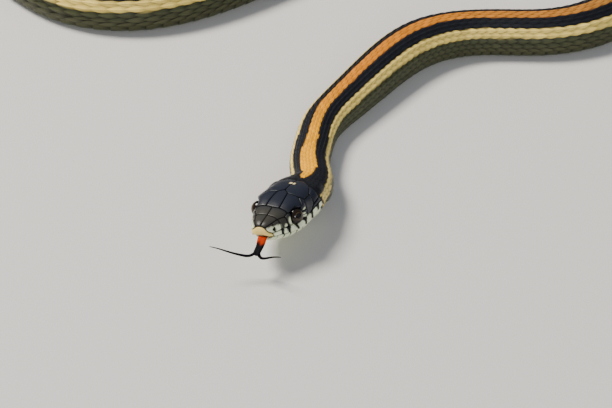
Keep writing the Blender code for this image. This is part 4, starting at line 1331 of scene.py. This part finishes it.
def surface_material(name, roughness, grain, bump, variation=0.12, coat=0.0, specular=0.5):
    """Material that takes its colour from the piece's paint, with fine relief and uneven gloss."""
    material = bpy.data.materials.new(name)
    material.use_nodes = True
    tree = material.node_tree
    shader = tree.nodes["Principled BSDF"]
    paint = node(tree, "Attribute")
    paint.attribute_name = "paint"
    place = node(tree, "TexCoord")
    coarse = node(tree, "TexNoise", Scale=grain / 5, Detail=3.0)
    fine = node(tree, "TexNoise", Scale=grain, Detail=4.0)
    tone = node(tree, "MapRange", To_Min=1 - variation, To_Max=1 + variation)
    shaded = node(tree, "VectorMath")
    shaded.operation = "SCALE"
    gloss = node(tree, "MapRange", To_Min=max(roughness - 0.08, 0.02), To_Max=roughness + 0.08)
    relief = node(tree, "Bump", Strength=bump, Distance=RELIEF)
    for source, out, target, into in (
            (place, "Object", coarse, "Vector"), (place, "Object", fine, "Vector"),
            (coarse, "Fac", tone, "Value"), (paint, "Color", shaded, 0), (tone, "Result", shaded, "Scale"),
            (shaded, "Vector", shader, "Base Color"), (fine, "Fac", gloss, "Value"),
            (gloss, "Result", shader, "Roughness"), (fine, "Fac", relief, "Height"),
            (relief, "Normal", shader, "Normal")):
        tree.links.new(source.outputs[out], target.inputs[into])
    shader.inputs["Coat Weight"].default_value = coat
    shader.inputs["Coat Roughness"].default_value = 0.08
    shader.inputs["IOR"].default_value = 1.45
    shader.inputs["Specular IOR Level"].default_value = specular
    return material


# Stage, in metres: each light's place, power, size and colour
FLOOR_HALF = 4.0
FLOOR_COLOUR = (0.72, 0.70, 0.67, 1)
SKY = (0.80, 0.87, 1.0, 1)
SKY_STRENGTH = 0.22
CAMERA_PLACE = (0.02605, -0.54746, 0.35215)
CAMERA_TILT = 55.0
LENS = 190.9
LIGHTS = [("key", (-0.60, 0.30, 0.95), 23.0, 0.40, (1.0, 0.95, 0.87)),
          ("fill", (0.9, -0.6, 0.7), 1.5, 1.2, (0.93, 0.96, 1.0)),
          ("front", (0.1, -1.0, 0.45), 3.5, 0.3, (0.93, 0.96, 1.0))]


def build_stage():
    """Plain pale floor, soft lights and the photograph's camera."""
    scene = bpy.context.scene
    mesh = bpy.data.meshes.new("floor")
    h = FLOOR_HALF
    mesh.from_pydata([(-h, -h, 0), (h, -h, 0), (h, h, 0), (-h, h, 0)], [], [(0, 1, 2, 3)])
    floor = bpy.data.objects.new("floor", mesh)
    scene.collection.objects.link(floor)
    material = bpy.data.materials.new("floor")
    material.use_nodes = True
    shader = material.node_tree.nodes["Principled BSDF"]
    shader.inputs["Base Color"].default_value = FLOOR_COLOUR
    shader.inputs["Roughness"].default_value = 0.9
    mesh.materials.append(material)
    for name, place, power, size, colour in LIGHTS:
        lamp = bpy.data.lights.new(name, "AREA")
        lamp.energy = power
        lamp.size = size
        lamp.color = colour
        light = bpy.data.objects.new(name, lamp)
        light.location = place
        light.rotation_euler = (-Vector(place)).to_track_quat("-Z", "Y").to_euler()
        scene.collection.objects.link(light)
    world = bpy.data.worlds.new("world")
    world.use_nodes = True
    sky = world.node_tree.nodes["Background"]
    sky.inputs["Color"].default_value = SKY
    sky.inputs["Strength"].default_value = SKY_STRENGTH
    scene.world = world
    lens = bpy.data.cameras.new("camera")
    lens.sensor_width = 36.0
    lens.lens = LENS
    lens.clip_start = 0.01
    camera = bpy.data.objects.new("camera", lens)
    camera.location = CAMERA_PLACE
    camera.rotation_euler = (math.radians(CAMERA_TILT), 0.0, 0.0)
    scene.collection.objects.link(camera)
    scene.camera = camera


def main():
    """Stage, materials, then every piece of the animal."""
    build_stage()
    scaly = surface_material("scales", 0.44, 5200.0, 0.35, specular=0.22)
    plates = surface_material("shields", 0.34, 5200.0, 0.3, 0.1, specular=0.25)
    skin_look = surface_material("skin", 0.6, 7000.0, 0.5, 0.2, specular=0.15)
    eye_look = surface_material("eye", 0.10, 3000.0, 0.03, 0.15, 0.2, specular=0.3)
    tongue_look = surface_material("tongue", 0.65, 4000.0, 0.3, 0.15, specular=0.06)
    skin, tree = build_skin(skin_look)
    flesh = ["head", "lower_jaw", "neck"]
    flesh += [f"body_{k}" for k in range(1, 9)] + [f"tail_{k}" for k in range(1, 4)]
    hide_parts(*flesh)
    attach(skin, "root")
    head_coat = build_shields(tree, plates)
    body_coat = build_scales(scaly) + [build_throat(scaly), build_tail_tip(scaly)] + list(build_scutes(scaly))
    for piece in head_coat:
        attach(piece, "root")
    for piece in body_coat:
        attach(piece, "root")
    for name, side in (("eye_left", -1), ("eye_right", 1)):
        eye = build_eye(name + "_ball", side, eye_look)
        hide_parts(name)
        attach(eye, "root")
    tongue = build_tongue(tongue_look)
    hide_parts("tongue")
    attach(tongue, "root")


main()
